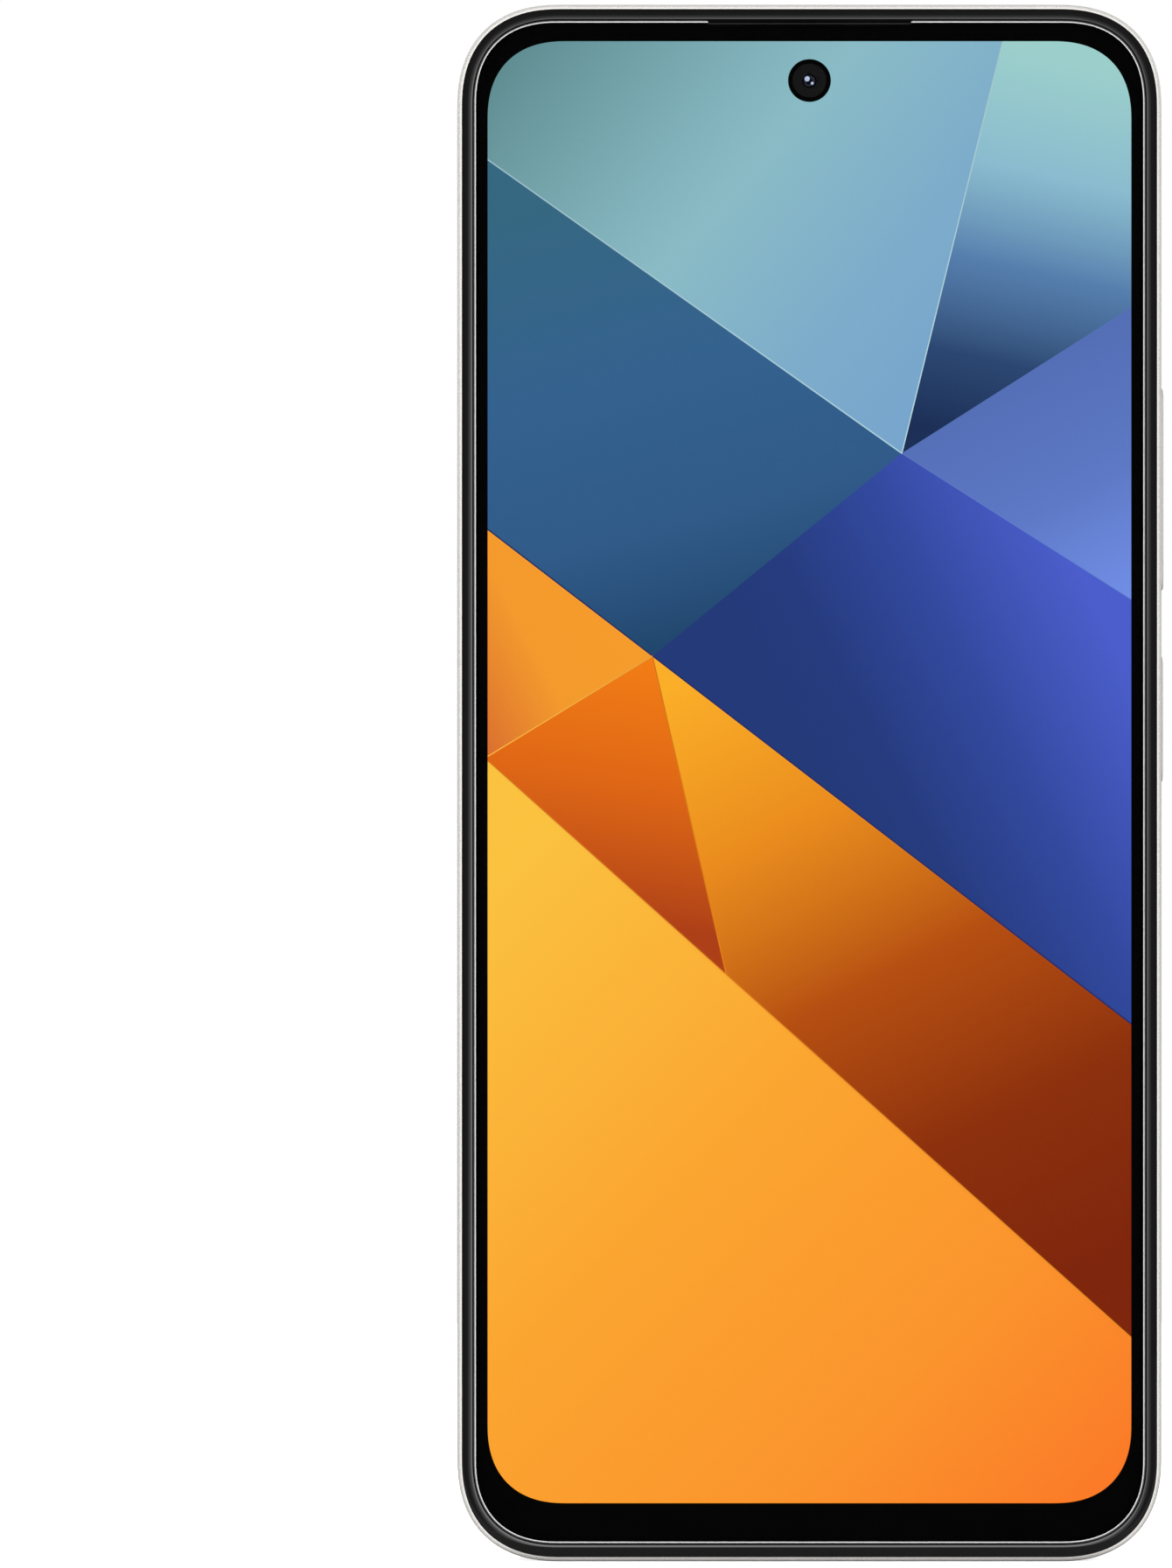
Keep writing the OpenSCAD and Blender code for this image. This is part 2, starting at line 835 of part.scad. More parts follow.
// Packages on the backs of the boards, as [x, y, width, height, thickness].
module chips() {
    on_main = [
        [-24.6, 121.3, 10.4, 12.2, 0.9], [-12.3, 121.3, 12.2, 12.2, 1.0], [-2.3, 121.3, 5, 5, 0.7],
        [-3, 152, 8, 6, 0.8], [8, 152, 7, 5, 0.8], [top_mic_x, 163.3, 3.4, 2.6, 0.9],
        [ir_x, 163.4, 3, 2.6, 1.2]
    ];
    on_sub = [[bottom_mic_x, 4.8, 3.4, 2.6, 0.9], [1, 19.5, 5, 4, 0.8]];
    color("darkslategray") upright() for (c = concat(on_main, on_sub))
        centred_block(c[0], c[1], c[2], c[3], [board_back - c[4], board_back]);
}

// Plugs of the flat cables, as [x, y, width, height].
module board_connectors() {
    plugs = [[8.5, 116.4, 8, 2.6], [25, 116, 8, 3], [8.5, 23.3, 8, 2.6], [-1, 23.3, 8, 2.6]];
    color("black") upright() for (c = plugs)
        centred_block(c[0], c[1], c[2], c[3], [board_back - plug_t, board_back]);
}

// A plastic lid over a board: a plate with pillars for its screws.
module board_lid(screws) {
    difference() {
        union() {
            children();
            for (p = screws)
                disc(p[0], p[1], boss_r, [lid_front, board_back]);
        }
        screw_holes(screws, [lid_back - eps, board_back + eps]);
        for (p = screws)
            disc(p[0], p[1], head_r + hole_gap, [lid_back - eps, lid_back + head_t]);
    }
}

module mainboard_cover() {
    color("dimgray") upright() board_lid(main_screws) difference() {
        bay_plate([main_left, main_right], [main_low, body_h], [lid_back, lid_front]);
        board_cutouts([lid_back - eps, lid_front + eps]);
    }
}

module board_screws() {
    color("lightsteelblue") upright() for (p = concat(main_screws, sub_screws)) {
        disc(p[0], p[1], head_r, [lid_back, lid_back + head_t]);
        disc(p[0], p[1], screw_r, [lid_back + head_t, screw_end]);
    }
}

module sub_board() {
    half = usb_w/2 + cut_gap;
    z = [board_back - eps, board_front + eps];
    color("darkgreen") upright() difference() {
        bay_plate([main_left, sub_right], [sub_low, sub_top], [board_back, board_front]);
        block([-half, half], [0, usb_end + cut_gap], z);
        disc(motor_x, motor_y, motor_r + cut_gap, z);
        screw_holes(sub_screws, z);
    }
}

module sub_board_cover() {
    color("dimgray") upright() board_lid(sub_screws)
        bay_plate([main_left, sub_right], [sub_low, sub_top], [lid_back, lid_front]);
}

// ---------------------------------------------------------------- battery and cables

module battery() {
    color("black") upright() translate([0, (battery_bottom + battery_top)/2, battery_z[0]])
        linear_extrude(battery_z[1] - battery_z[0])
            rounded_rect(battery_w, battery_top - battery_bottom, battery_r);
}

module battery_flex() {
    x = [21.5, 28.5];
    tab = -2;
    step = 112.6;
    path = [[battery_top, tab], [step, tab], [step, plug_level], [117.3, plug_level]];
    color("darkgoldenrod") upright() ribbon(x, path, flex_t);
}

module main_flex() {
    x = [4.5, 12.5];
    ends = [22, 117.6];
    over = -3.2;
    path = [
        [ends[0], plug_level], [sub_step, plug_level], [sub_step, over],
        [main_step, over], [main_step, plug_level], [ends[1], plug_level]
    ];
    color("darkgoldenrod") upright() ribbon(x, path, flex_t);
}

module antenna_cable() {
    x = -34.7;
    z = -0.7;
    ends = [18, 120];
    r = 0.4;
    plug_r = 0.7;
    color("black") upright() {
        facing_y(x, ends[0], z) cylinder(r = r, h = ends[1] - ends[0]);
        for (y = ends)
            disc(x, y, plug_r, [z - r, board_back]);
    }
}

// ---------------------------------------------------------------- sockets

module usb_shell() {
    color("silver") upright() facing_y(0, usb_mouth, usb_z) linear_extrude(usb_end - usb_mouth)
        difference() {
            usb_outline(0);
            usb_outline(-usb_wall);
        }
}

module usb_tongue() {
    color("black") upright() {
        block([-tongue_w/2, tongue_w/2], [tongue_tip, usb_floor], [usb_z - tongue_t/2, usb_z + tongue_t/2]);
        facing_y(0, usb_floor, usb_z) linear_extrude(usb_end - usb_floor) usb_outline(-usb_wall);
    }
}

module headphone_jack() {
    x = [jack_x - jack_w/2, jack_x + jack_w/2];
    color("dimgray") upright() difference() {
        block(x, [jack_low, jack_top], jack_case_z);
        facing_y(jack_x, jack_floor, jack_z) cylinder(r = jack_r, h = jack_top - jack_floor + eps);
    }
}

module ir_window() {
    y = [body_h - 2.1, body_h - 0.1];
    color("black") upright() facing_y(ir_x, y[0], mic_z) cylinder(r = ir_r - ir_gap, h = y[1] - y[0]);
}

// ---------------------------------------------------------------- sound and motor

module speaker_box() {
    x = [speaker_x, half_w];
    y = [speaker_low, speaker_top];
    color("dimgray") upright() difference() {
        bay_plate(x, y, [speaker_back, speaker_front]);
        bay_plate([x[0] + speaker_wall, half_w], [y[0] + speaker_wall, y[1] - speaker_wall],
            [speaker_back + speaker_wall, speaker_front - speaker_wall], bay_gap + speaker_wall);
        block(port_x, port_y, port_z);
    }
}

module speaker_driver() {
    color("silver") upright() {
        block(driver_x, driver_y, [speaker_back + speaker_wall, driver_step_z]);
        block([driver_x[0] + driver_step, driver_x[1] - driver_step],
            [driver_y[0] + driver_step, driver_y[1] - driver_step], [driver_step_z, driver_front]);
    }
}

module speaker_diaphragm() {
    w = driver_x[1] - driver_x[0] - 2*cone_gap;
    h = driver_y[1] - driver_y[0] - 2*cone_gap;
    color("black") upright()
        translate([(driver_x[0] + driver_x[1])/2, (driver_y[0] + driver_y[1])/2, cone_z[0]])
            linear_extrude(cone_z[1] - cone_z[0]) rounded_rect(w, h, cone_r);
}

module speaker_mesh() {
    reach = grille_len/2 + grille_over;
    half = grille_w/2 + grille_over;
    last = grille_x + (grille_count - 1)*grille_pitch;
    color("dimgray") upright()
        block([grille_x - reach, last + reach], [wall, wall + weave_t], [grille_z - half, grille_z + half]);
}

module motor_case() {
    color("silver") upright() {
        difference() {
            disc(motor_x, motor_y, motor_r, motor_z);
            disc(motor_x, motor_y, motor_r - motor_wall,
                [motor_z[0] + motor_wall, motor_z[1] - motor_wall]);
        }
        disc(motor_x, motor_y, motor_pin_r, motor_z);
    }
}

// Half a heavy disc on a hub, so that it shakes as it turns.
module motor_rotor() {
    z = [motor_z[0] + rotor_gap, motor_z[1] - rotor_gap];
    color("goldenrod") upright() difference() {
        union() {
            disc(motor_x, motor_y, rotor_hub_r, z);
            intersection() {
                disc(motor_x, motor_y, rotor_r, z);
                block([motor_x - motor_r, motor_x + motor_r], [motor_y, motor_y + motor_r], z);
            }
        }
        disc(motor_x, motor_y, motor_pin_r + pin_gap, [z[0] - eps, z[1] + eps]);
    }
}

// ---------------------------------------------------------------- card tray

module tray() {
    face_t = tray_root + half_w;
    color("gainsboro") upright() {
        facing_x(-half_w, tray_y, tray_z) linear_extrude(face_t) pill(tray_face, tray_face_w);
        difference() {
            block([tray_root, tray_end], [tray_y - tray_w/2, tray_y + tray_w/2], [tray_back, tray_front]);
            for (i = [0, 1])
                translate([card_x + i*card_pitch, tray_y, 0]) {
                    block([-card_len/2, card_len/2], [-card_w/2, card_w/2],
                        [tray_back - eps, tray_front - card_floor]);
                    block([card_ledge - card_len/2, card_len/2 - card_ledge],
                        [card_ledge - card_w/2, card_w/2 - card_ledge], [tray_back, tray_front + eps]);
                }
        }
    }
}

module tray_base() {
    color("black") upright() {
        block(base_x, base_y, [base_back, base_front]);
        disc(pivot_x, pivot_y, pivot_r, [cage_back, base_back]);
    }
}

module tray_cage() {
    out = cage_in + can_t;
    color("silver") upright() difference() {
        block(cage_x, [tray_y - out, tray_y + out], [cage_back, base_back]);
        block([cage_x[0] - eps, cage_x[1] + eps], [tray_y - cage_in, tray_y + cage_in],
            [cage_back + can_t, base_back + eps]);
    }
}

module eject_rod() {
    color("lightsteelblue") upright()
        block([rod_start, rod_end], [rod_y - rod_w/2, rod_y + rod_w/2], [tray_back, tray_front]);
}

module eject_lever() {
    color("lightsteelblue") upright() difference() {
        union() {
            block([pivot_x - lever_w/2, pivot_x + lever_w/2], [lever_low, lever_top],
                [tray_back, tray_front]);
            disc(pivot_x, pivot_y, lever_hub_r, [tray_back, tray_front]);
        }
        disc(pivot_x, pivot_y, pivot_r + pivot_gap, [tray_back - eps, tray_front + eps]);
    }
}

// ---------------------------------------------------------------- keys

// A side key: the cap that shows, a flange that holds it in and the posts that press.
module side_key(y, length, proud, room, play, posts) {
    top = key_shoulder - room;
    facing_x(top, y, key_z) linear_extrude(half_w + proud - top) pill(length, key_w);
    facing_x(top - flange_t, y, key_z) linear_extrude(flange_t)
        square([flange_w, length + 2*flange_over], center = true);
    for (at = posts)
        facing_x(switch_top + play, y + at, key_z)
            cylinder(r = post_r, h = top - flange_t - switch_top - play);
}

module volume_key() {
    color("gainsboro") upright() {
        side_key(volume_y, volume_len, volume_proud, rock_room, rock_play, [-volume_post, volume_post]);
        disc(rock_x, volume_y, rock_bead_r, [key_z - flange_w/2, key_z + flange_w/2]);
    }
}

module power_key() {
    color("gainsboro") upright() difference() {
        side_key(power_y, power_len, power_proud, press_room, press_play, [0]);
        facing_x(half_w + power_proud - sensor_t - sensor_sunk, power_y, key_z) linear_extrude(key_w)
            pill(sensor_len, sensor_w);
    }
}

module fingerprint_sensor() {
    color("darkgray") upright()
        facing_x(half_w + power_proud - sensor_t - sensor_sunk, power_y, key_z)
            linear_extrude(sensor_t) pill(sensor_len, sensor_w);
}

module key_flex() {
    back = switch_top - switch_t;
    color("darkgoldenrod") upright() {
        block([back - key_flex_t, back], key_flex_y, key_flex_z);
        for (y = [power_y, volume_y - volume_post, volume_y + volume_post])
            block([back, switch_top], [y - switch_len/2, y + switch_len/2],
                [key_z - switch_w/2, key_z + switch_w/2]);
    }
}

side_frame();
front_bezel();
cover_glass();
display_panel();
diffuser_stack();
backlight_tray();
display_flex();
mid_plate();
earpiece_mesh();
receiver_case();
receiver_diaphragm();
front_camera();
front_lens();
back_cover();
back_adhesive();
upper_ring();
upper_glass();
lower_ring();
lower_glass();
flash_ring();
flash_glass();
flash_diffuser();
flash_leds();
flash_board();
main_camera();
main_barrel();
main_lens();
second_camera();
second_lens();
mainboard();
shield_cans();
chips();
board_connectors();
mainboard_cover();
board_screws();
tray();
tray_base();
tray_cage();
eject_rod();
eject_lever();
battery();
battery_flex();
main_flex();
antenna_cable();
sub_board();
sub_board_cover();
usb_shell();
usb_tongue();
speaker_box();
speaker_driver();
speaker_diaphragm();
speaker_mesh();
headphone_jack();
motor_case();
motor_rotor();
volume_key();
power_key();
fingerprint_sensor();
key_flex();
ir_window();
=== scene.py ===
"""A slab smartphone standing on its bottom edge on a pale floor, seen straight from the front.

Sizes are in millimetres until they reach a mesh. X is to the right, Y to the back and Z up.
A section of the casing is drawn as (inset, depth) points: how far in from the side frame's
outer face, and how far behind the middle of the phone.
"""

import json
import math

import bmesh
import bpy
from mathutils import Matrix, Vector


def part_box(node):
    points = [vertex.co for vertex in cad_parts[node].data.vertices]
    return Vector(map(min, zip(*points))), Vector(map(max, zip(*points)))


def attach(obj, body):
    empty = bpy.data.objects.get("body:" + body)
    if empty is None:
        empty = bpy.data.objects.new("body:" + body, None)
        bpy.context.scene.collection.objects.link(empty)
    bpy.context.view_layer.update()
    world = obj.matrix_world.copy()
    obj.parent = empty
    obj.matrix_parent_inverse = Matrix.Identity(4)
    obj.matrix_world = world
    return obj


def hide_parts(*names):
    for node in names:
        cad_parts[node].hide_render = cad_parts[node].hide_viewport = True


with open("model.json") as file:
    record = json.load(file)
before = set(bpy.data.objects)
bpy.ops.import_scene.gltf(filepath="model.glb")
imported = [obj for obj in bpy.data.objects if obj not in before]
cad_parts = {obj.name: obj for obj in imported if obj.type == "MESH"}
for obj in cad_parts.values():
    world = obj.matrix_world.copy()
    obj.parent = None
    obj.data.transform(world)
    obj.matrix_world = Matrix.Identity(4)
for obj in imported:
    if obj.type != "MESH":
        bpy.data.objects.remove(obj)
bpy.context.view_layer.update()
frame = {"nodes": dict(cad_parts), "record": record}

MM = 0.001


def node_box(node):
    """A CAD node's lowest and highest corner, in millimetres."""
    low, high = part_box(node)
    return [c / MM for c in low], [c / MM for c in high]


# ---- sizes taken from the frame

FRAME_LOW, FRAME_HIGH = node_box("side_frame")
BODY_W = FRAME_HIGH[0] - FRAME_LOW[0]
BODY_H = FRAME_HIGH[2] - FRAME_LOW[2]
MID_Z = BODY_H / 2
BACK_Y = FRAME_HIGH[1]
GLASS_LOW, GLASS_HIGH = node_box("cover_glass")
FRONT_Y = GLASS_LOW[1]
GLASS_W = GLASS_HIGH[0] - GLASS_LOW[0]
GLASS_H = GLASS_HIGH[2] - GLASS_LOW[2]
GLASS_Z = (GLASS_HIGH[2] + GLASS_LOW[2]) / 2
GLASS_BACK = GLASS_HIGH[1]

# The side frame's wall, its lip in front and its rim round the back cover
WALL = 2.4
LIP = 0.48
RIM = 1.17
CORNER_R = 9.8
GLASS_R = 8.0

# The lit part of the display, and the front camera's hole in it
SCREEN_W = 69.7
SCREEN_LOW = 6.35
SCREEN_HIGH = 164.6
SCREEN_R = 7.4
SELFIE_Z = 160.35
SELFIE_R = 2.32

# Corners are superellipses: a little longer than a circle's quarter, as on the real outline
CORNER_REACH = 1.16
CORNER_POWER = 2.39

# How finely a corner and a full turn are cut
CORNER_STEPS = 28
TURN_STEPS = 128

# Near enough to a lathe's axis to close a surface there
AXIS = 0.001


def srgb(red, green, blue):
    """A colour in 0-255 screen values as linear RGBA."""
    def linear(v):
        v /= 255
        return v / 12.92 if v <= 0.04045 else ((v + 0.055) / 1.055) ** 2.4

    return (linear(red), linear(green), linear(blue), 1)


def grey(level):
    return srgb(level, level, level)


# ---- mesh building


def link(name, data):
    """An object of the given data, in the scene."""
    obj = bpy.data.objects.new(name, data)
    bpy.context.scene.collection.objects.link(obj)
    return obj


def make_object(name, verts, faces, material, sharp=35):
    """A mesh object from points in millimetres, smooth but for edges over sharp degrees."""
    mesh = bpy.data.meshes.new(name)
    mesh.from_pydata([[c * MM for c in v] for v in verts], [], faces)
    bm = bmesh.new()
    bm.from_mesh(mesh)
    bmesh.ops.remove_doubles(bm, verts=bm.verts, dist=1e-7)
    bmesh.ops.recalc_face_normals(bm, faces=bm.faces)
    bm.to_mesh(mesh)
    bm.free()
    mesh.shade_smooth()
    mesh.set_sharp_from_angle(angle=math.radians(sharp))
    mesh.materials.append(material)
    return link(name, mesh)


def add_piece(obj, body="phone", stands_for=()):
    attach(obj, body)
    if stands_for:
        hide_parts(*stands_for)
    return obj


def loft(name, rings, material, closed=False, caps=True, sharp=35):
    """Joins rings of points into a skin. closed joins the last ring to the first."""
    count = len(rings[0])
    verts = [p for ring in rings for p in ring]
    faces = []
    last = len(rings) if closed else len(rings) - 1
    for i in range(last):
        a, b = i * count, ((i + 1) % len(rings)) * count
        for j in range(count):
            k = (j + 1) % count
            faces.append((a + j, a + k, b + k, b + j))
    if caps and not closed:
        faces.append(tuple(range(count)))
        faces.append(tuple(range((len(rings) - 1) * count, len(rings) * count)))
    return make_object(name, verts, faces, material, sharp)


def outline(w, h, r, y, z_mid=MID_Z, steps=CORNER_STEPS, x_mid=0.0):
    """A rounded rectangle in the phone's own plane, as points at depth y."""
    reach = r * CORNER_REACH
    points = []
    for turn in range(4):
        sx, sz = ((1, 1), (-1, 1), (-1, -1), (1, -1))[turn]
        for i in range(steps + 1):
            a = (turn + i / steps) * math.pi / 2
            ca, sa = abs(math.cos(a)), abs(math.sin(a))
            px = reach * ca ** (2 / CORNER_POWER) if ca > 1e-9 else 0.0
            pz = reach * sa ** (2 / CORNER_POWER) if sa > 1e-9 else 0.0
            points.append((x_mid + sx * (w / 2 - reach + px), y, z_mid + sz * (h / 2 - reach + pz)))
    return points


def body_ring(inset, y):
    """The phone's outline drawn in by inset, at depth y."""
    return outline(BODY_W - 2 * inset, BODY_H - 2 * inset, CORNER_R - inset, y)


def glass_ring(inset, y):
    return outline(GLASS_W - 2 * inset, GLASS_H - 2 * inset, GLASS_R - inset, y, GLASS_Z)


def arc(centre, radius, start, end, steps):
    """Points (u, v) along an arc, angles in degrees."""
    turns = [math.radians(start + (end - start) * i / steps) for i in range(steps + 1)]
    return [(centre[0] + radius * math.cos(t), centre[1] + radius * math.sin(t)) for t in turns]


def quarter(steps):
    """Angles from 0 to a quarter turn."""
    return [math.pi / 2 * i / steps for i in range(steps + 1)]


def dome_arc(radius, edge, rise, steps):
    """Half a dome's section as (radius, y) points, from its edge to the axis."""
    points = [(radius * math.cos(a), edge + rise * math.sin(a)) for a in quarter(steps)[:-1]]
    return points + [(AXIS, edge + rise)]


def soft_edge(face, soft, out, steps):
    """Rows of (depth, inset) that round the edge of a cap whose face looks towards out."""
    return [(face - out * soft * (1 - math.sin(a)), soft * (1 - math.cos(a)))
            for a in quarter(steps)[1:]]


def lathe(name, x, z, profile, material, closed=False, steps=TURN_STEPS, sharp=35):
    """Revolves (radius, y) points round the axis that runs through (x, z) from front to back."""
    rings = []
    for radius, y in profile:
        ring = []
        for i in range(steps):
            a = 2 * math.pi * i / steps
            ring.append((x + radius * math.cos(a), y, z + radius * math.sin(a)))
        rings.append(ring)
    return loft(name, rings, material, closed, caps=not closed, sharp=sharp)


def add_turned(name, x, z, profile, material, slot, stands_for=(), body="phone", **how):
    """Lathes a piece and adds it. how goes to the lathe."""
    return add_piece(lathe(name, x, z, profile, material, **how), body, stands_for)


def pill_points(length, width, steps=16):
    """A slot's outline with round ends, as (along, across) points."""
    r = width / 2
    run = length / 2 - r
    return arc((run, 0), r, -90, 90, steps) + arc((-run, 0), r, 90, 270, steps)


def facing(points, side, at, depth):
    """Places (along, across) points on a plane that faces side: 'x' with along up the phone, or
    'z' with along to the right. at is the middle."""
    if side == "x":
        return [(depth, at[1] + v, at[2] + u) for u, v in points]
    return [(at[0] + u, at[1] + v, depth) for u, v in points]


def carve(obj, cutters):
    """Cuts the cutters out of obj and removes them."""
    for cutter in cutters:
        cut = obj.modifiers.new("cut", "BOOLEAN")
        cut.operation, cut.object, cut.solver = "DIFFERENCE", cutter, "EXACT"
    graph = bpy.context.evaluated_depsgraph_get()
    graph.update()
    mesh = bpy.data.meshes.new_from_object(obj.evaluated_get(graph))
    obj.modifiers.clear()
    obj.data = mesh
    mesh.set_sharp_from_angle(angle=math.radians(30))
    for cutter in cutters:
        bpy.data.objects.remove(cutter)
    return obj


def soft_box_mesh(bm, low, high, bevel):
    """Adds a box with rounded edges to a bmesh, in millimetres."""
    made = bmesh.ops.create_cube(bm, size=1)
    size = [high[i] - low[i] for i in range(3)]
    middle = [(high[i] + low[i]) / 2 for i in range(3)]
    for v in made["verts"]:
        v.co = Vector([(middle[i] + v.co[i] * size[i]) * MM for i in range(3)])
    edges = list({e for v in made["verts"] for e in v.link_edges})
    bmesh.ops.bevel(bm, geom=edges, offset=bevel * MM, segments=2, affect="EDGES", profile=0.5)


def soft_boxes(name, boxes, material, bevel):
    """One object of several boxes with rounded edges, each (low corner, high corner)."""
    bm = bmesh.new()
    for low, high in boxes:
        soft_box_mesh(bm, low, high, bevel)
    mesh = bpy.data.meshes.new(name)
    bm.to_mesh(mesh)
    bm.free()
    mesh.shade_smooth()
    mesh.set_sharp_from_angle(angle=math.radians(40))
    mesh.materials.append(material)
    return link(name, mesh)


# ---- materials


class Nodes:
    """Short calls to add nodes to the node tree of a material or a world."""

    def __init__(self, data, shader):
        self.data = data
        self.data.use_nodes = True
        self.tree = self.data.node_tree
        self.shader = self.tree.nodes[shader]

    def add(self, kind, settings=None, **inputs):
        """A new node. settings are its own properties, and inputs what its sockets get."""
        node = self.tree.nodes.new(kind)
        for key, value in (settings or {}).items():
            setattr(node, key, value)
        for key, value in inputs.items():
            self.put(node.inputs[key.replace("_", " ")], value)
        return node

    def put(self, socket, value):
        """Links a node's output to a socket, or sets its value."""
        if isinstance(value, bpy.types.NodeSocket):
            self.tree.links.new(value, socket)
        else:
            socket.default_value = value

    def feed(self, key, value):
        self.put(self.shader.inputs[key], value)

    def spread(self, value, low, high, from_low=0.3, from_high=0.7):
        """Stretches a value's range onto low to high. Noise lies mostly between 0.3 and 0.7."""
        node = self.add("ShaderNodeMapRange")
        for i, v in enumerate((value, from_low, from_high, low, high)):
            self.put(node.inputs[i], v)
        return node.outputs["Result"]

    def maths(self, operation, a, b=0.0, c=0.0):
        node = self.add("ShaderNodeMath", {"operation": operation})
        for i, v in enumerate((a, b, c)):
            self.put(node.inputs[i], v)
        return node.outputs[0]

    def times(self, a, b):
        return self.maths("MULTIPLY", a, b)

    def mix(self, share, a, b):
        """A colour between a and b."""
        node = self.add("ShaderNodeMix", {"data_type": "RGBA"})
        for i, v in ((0, share), (6, a), (7, b)):
            self.put(node.inputs[i], v)
        return node.outputs[2]

    def ramp(self, share, stops):
        node = self.add("ShaderNodeValToRGB", Fac=share)
        line = node.color_ramp
        while len(line.elements) < len(stops):
            line.elements.new(0.5)
        for element, (at, colour) in zip(line.elements, stops):
            element.position, element.color = at, colour
        return node.outputs["Color"]


class Material(Nodes):
    """A node material with a Principled shader."""

    def __init__(self, name, **values):
        super().__init__(bpy.data.materials.new(name), "Principled BSDF")
        for key, value in values.items():
            self.shader.inputs[key.replace("_", " ")].default_value = value

    def place(self):
        """The point on the object, in metres."""
        return self.add("ShaderNodeTexCoord").outputs["Object"]

    def noise(self, scale, detail=3.0, vector=None):
        """Noise with scale blobs in a millimetre."""
        node = self.add("ShaderNodeTexNoise", Scale=scale / MM, Detail=detail)
        self.put(node.inputs["Vector"], vector or self.place())
        return node.outputs["Fac"]

    def polar(self, x, z):
        """The distance from (x, z) in millimetres, and the angle round it."""
        parts = self.add("ShaderNodeSeparateXYZ", Vector=self.place())
        across = self.maths("MULTIPLY_ADD", parts.outputs["X"], 1 / MM, -x)
        up = self.maths("MULTIPLY_ADD", parts.outputs["Z"], 1 / MM, -z)
        squares = self.maths("MULTIPLY_ADD", across, across, self.times(up, up))
        return self.maths("SQRT", squares), self.maths("ARCTAN2", up, across)

    def bump(self, height, distance, strength=1.0):
        node = self.add("ShaderNodeBump", Height=height, Distance=distance * MM, Strength=strength)
        self.feed("Normal", node.outputs["Normal"])


def shade(colour, by):
    return (colour[0] * by, colour[1] * by, colour[2] * by, 1)


def grained(name, colour, rough, metal=0.0, vary=0.12, scale=6.0, bump=0.004, **values):
    """A moulded, cast or painted surface: fine grain in its colour, roughness and height."""
    m = Material(name, Metallic=metal, **values)
    grain = m.noise(scale)
    cloud = m.noise(scale / 12, 2)
    both = m.maths("MULTIPLY_ADD", grain, 0.6, m.times(cloud, 0.4))
    share = m.spread(both, 0, 1)
    m.feed("Base Color", m.mix(share, shade(colour, 1 - vary), shade(colour, 1 + vary)))
    m.feed("Roughness", m.spread(grain, rough * 0.85, min(1, rough * 1.15)))
    m.bump(grain, bump)
    return m.data


def brushed(name, colour, rough, along="Z", vary=0.1):
    """Drawn or brushed metal: grain stretched along one axis."""
    m = Material(name, Metallic=1.0)
    stretch = [1.0, 1.0, 1.0]
    stretch["XYZ".index(along)] = 0.03
    placed = m.add("ShaderNodeMapping", Vector=m.place(), Scale=stretch)
    grain = m.noise(9, 4, placed.outputs["Vector"])
    share = m.spread(grain, 0, 1)
    m.feed("Base Color", m.mix(share, shade(colour, 1 - vary), shade(colour, 1 + vary)))
    m.feed("Roughness", m.spread(grain, rough * 0.7, rough * 1.3))
    m.bump(grain, 0.0015)
    return m.data


def silver_lacquer(name, level=209):
    """Silver lacquer with a fine metallic grain, under a thin clear coat."""
    m = Material(name, Metallic=0.2, Coat_Weight=0.2, Coat_Roughness=0.15)
    flake = m.noise(9, 2)
    drift = m.noise(0.5, 2)
    base = srgb(level, level - 2, level - 6)
    tone = m.mix(m.spread(flake, 0, 1), shade(base, 0.74), shade(base, 1.14))
    m.feed("Base Color", m.mix(m.spread(drift, 0, 0.12), tone, shade(base, 0.9)))
    m.feed("Roughness", m.spread(flake, 0.28, 0.42))
    m.bump(flake, 0.0012, 0.6)
    return m.data


def polished_black(name):
    """Polished black plastic, with the faint haze of handling."""
    m = Material(name, IOR=1.75, Specular_IOR_Level=0.6)
    haze = m.noise(0.12, 4)
    m.feed("Base Color", m.mix(m.spread(haze, 0, 1), grey(5), grey(9)))
    m.feed("Roughness", m.spread(haze, 0.05, 0.1))
    m.bump(m.noise(1.5, 2), 0.0004, 0.3)
    return m.data


def clear_glass(name, face_on=0.02, rough=0.01):
    """Clear coated glass: what lies behind shows. face_on is the share that it reflects face on,
    and more is reflected at a slant."""
    m = Material(name)
    through = m.add("ShaderNodeBsdfTransparent")
    gloss = m.add("ShaderNodeBsdfGlossy", Roughness=m.spread(m.noise(0.05, 4), rough, rough + 0.02))
    slant = m.add("ShaderNodeLayerWeight", Blend=0.5).outputs["Facing"]
    share = m.maths("MULTIPLY_ADD", m.maths("POWER", slant, 5.0), 1 - face_on, face_on)
    both = m.add("ShaderNodeMixShader")
    m.put(both.inputs[0], share)
    m.put(both.inputs[1], through.outputs[0])
    m.put(both.inputs[2], gloss.outputs[0])
    m.put(m.tree.nodes["Material Output"].inputs["Surface"], both.outputs[0])
    m.tree.nodes.remove(m.shader)
    return m.data


def spun_disc_painted_highlights(name, x, z):
    """A black disc turned on a lathe: fine rings, and four soft painted highlights in its colour
    that fan out from the middle at (x, z)."""
    m = Material(name, Specular_IOR_Level=0.3)
    radius, angle = m.polar(x, z)
    # Painted highlights: four bright lobes round the middle, painted into the base colour
    fan = m.maths("POWER", m.maths("ABSOLUTE", m.maths("SINE", m.times(angle, 2.0))), 5.0)
    turned = m.maths("SINE", m.times(radius, 40.0))
    share = m.times(fan, m.maths("MULTIPLY_ADD", turned, 0.07, 0.9))
    m.feed("Base Color", m.mix(share, grey(8), grey(90)))
    m.feed("Roughness", m.spread(m.noise(6), 0.35, 0.5))
    m.bump(turned, 0.0006, 0.4)
    return m.data


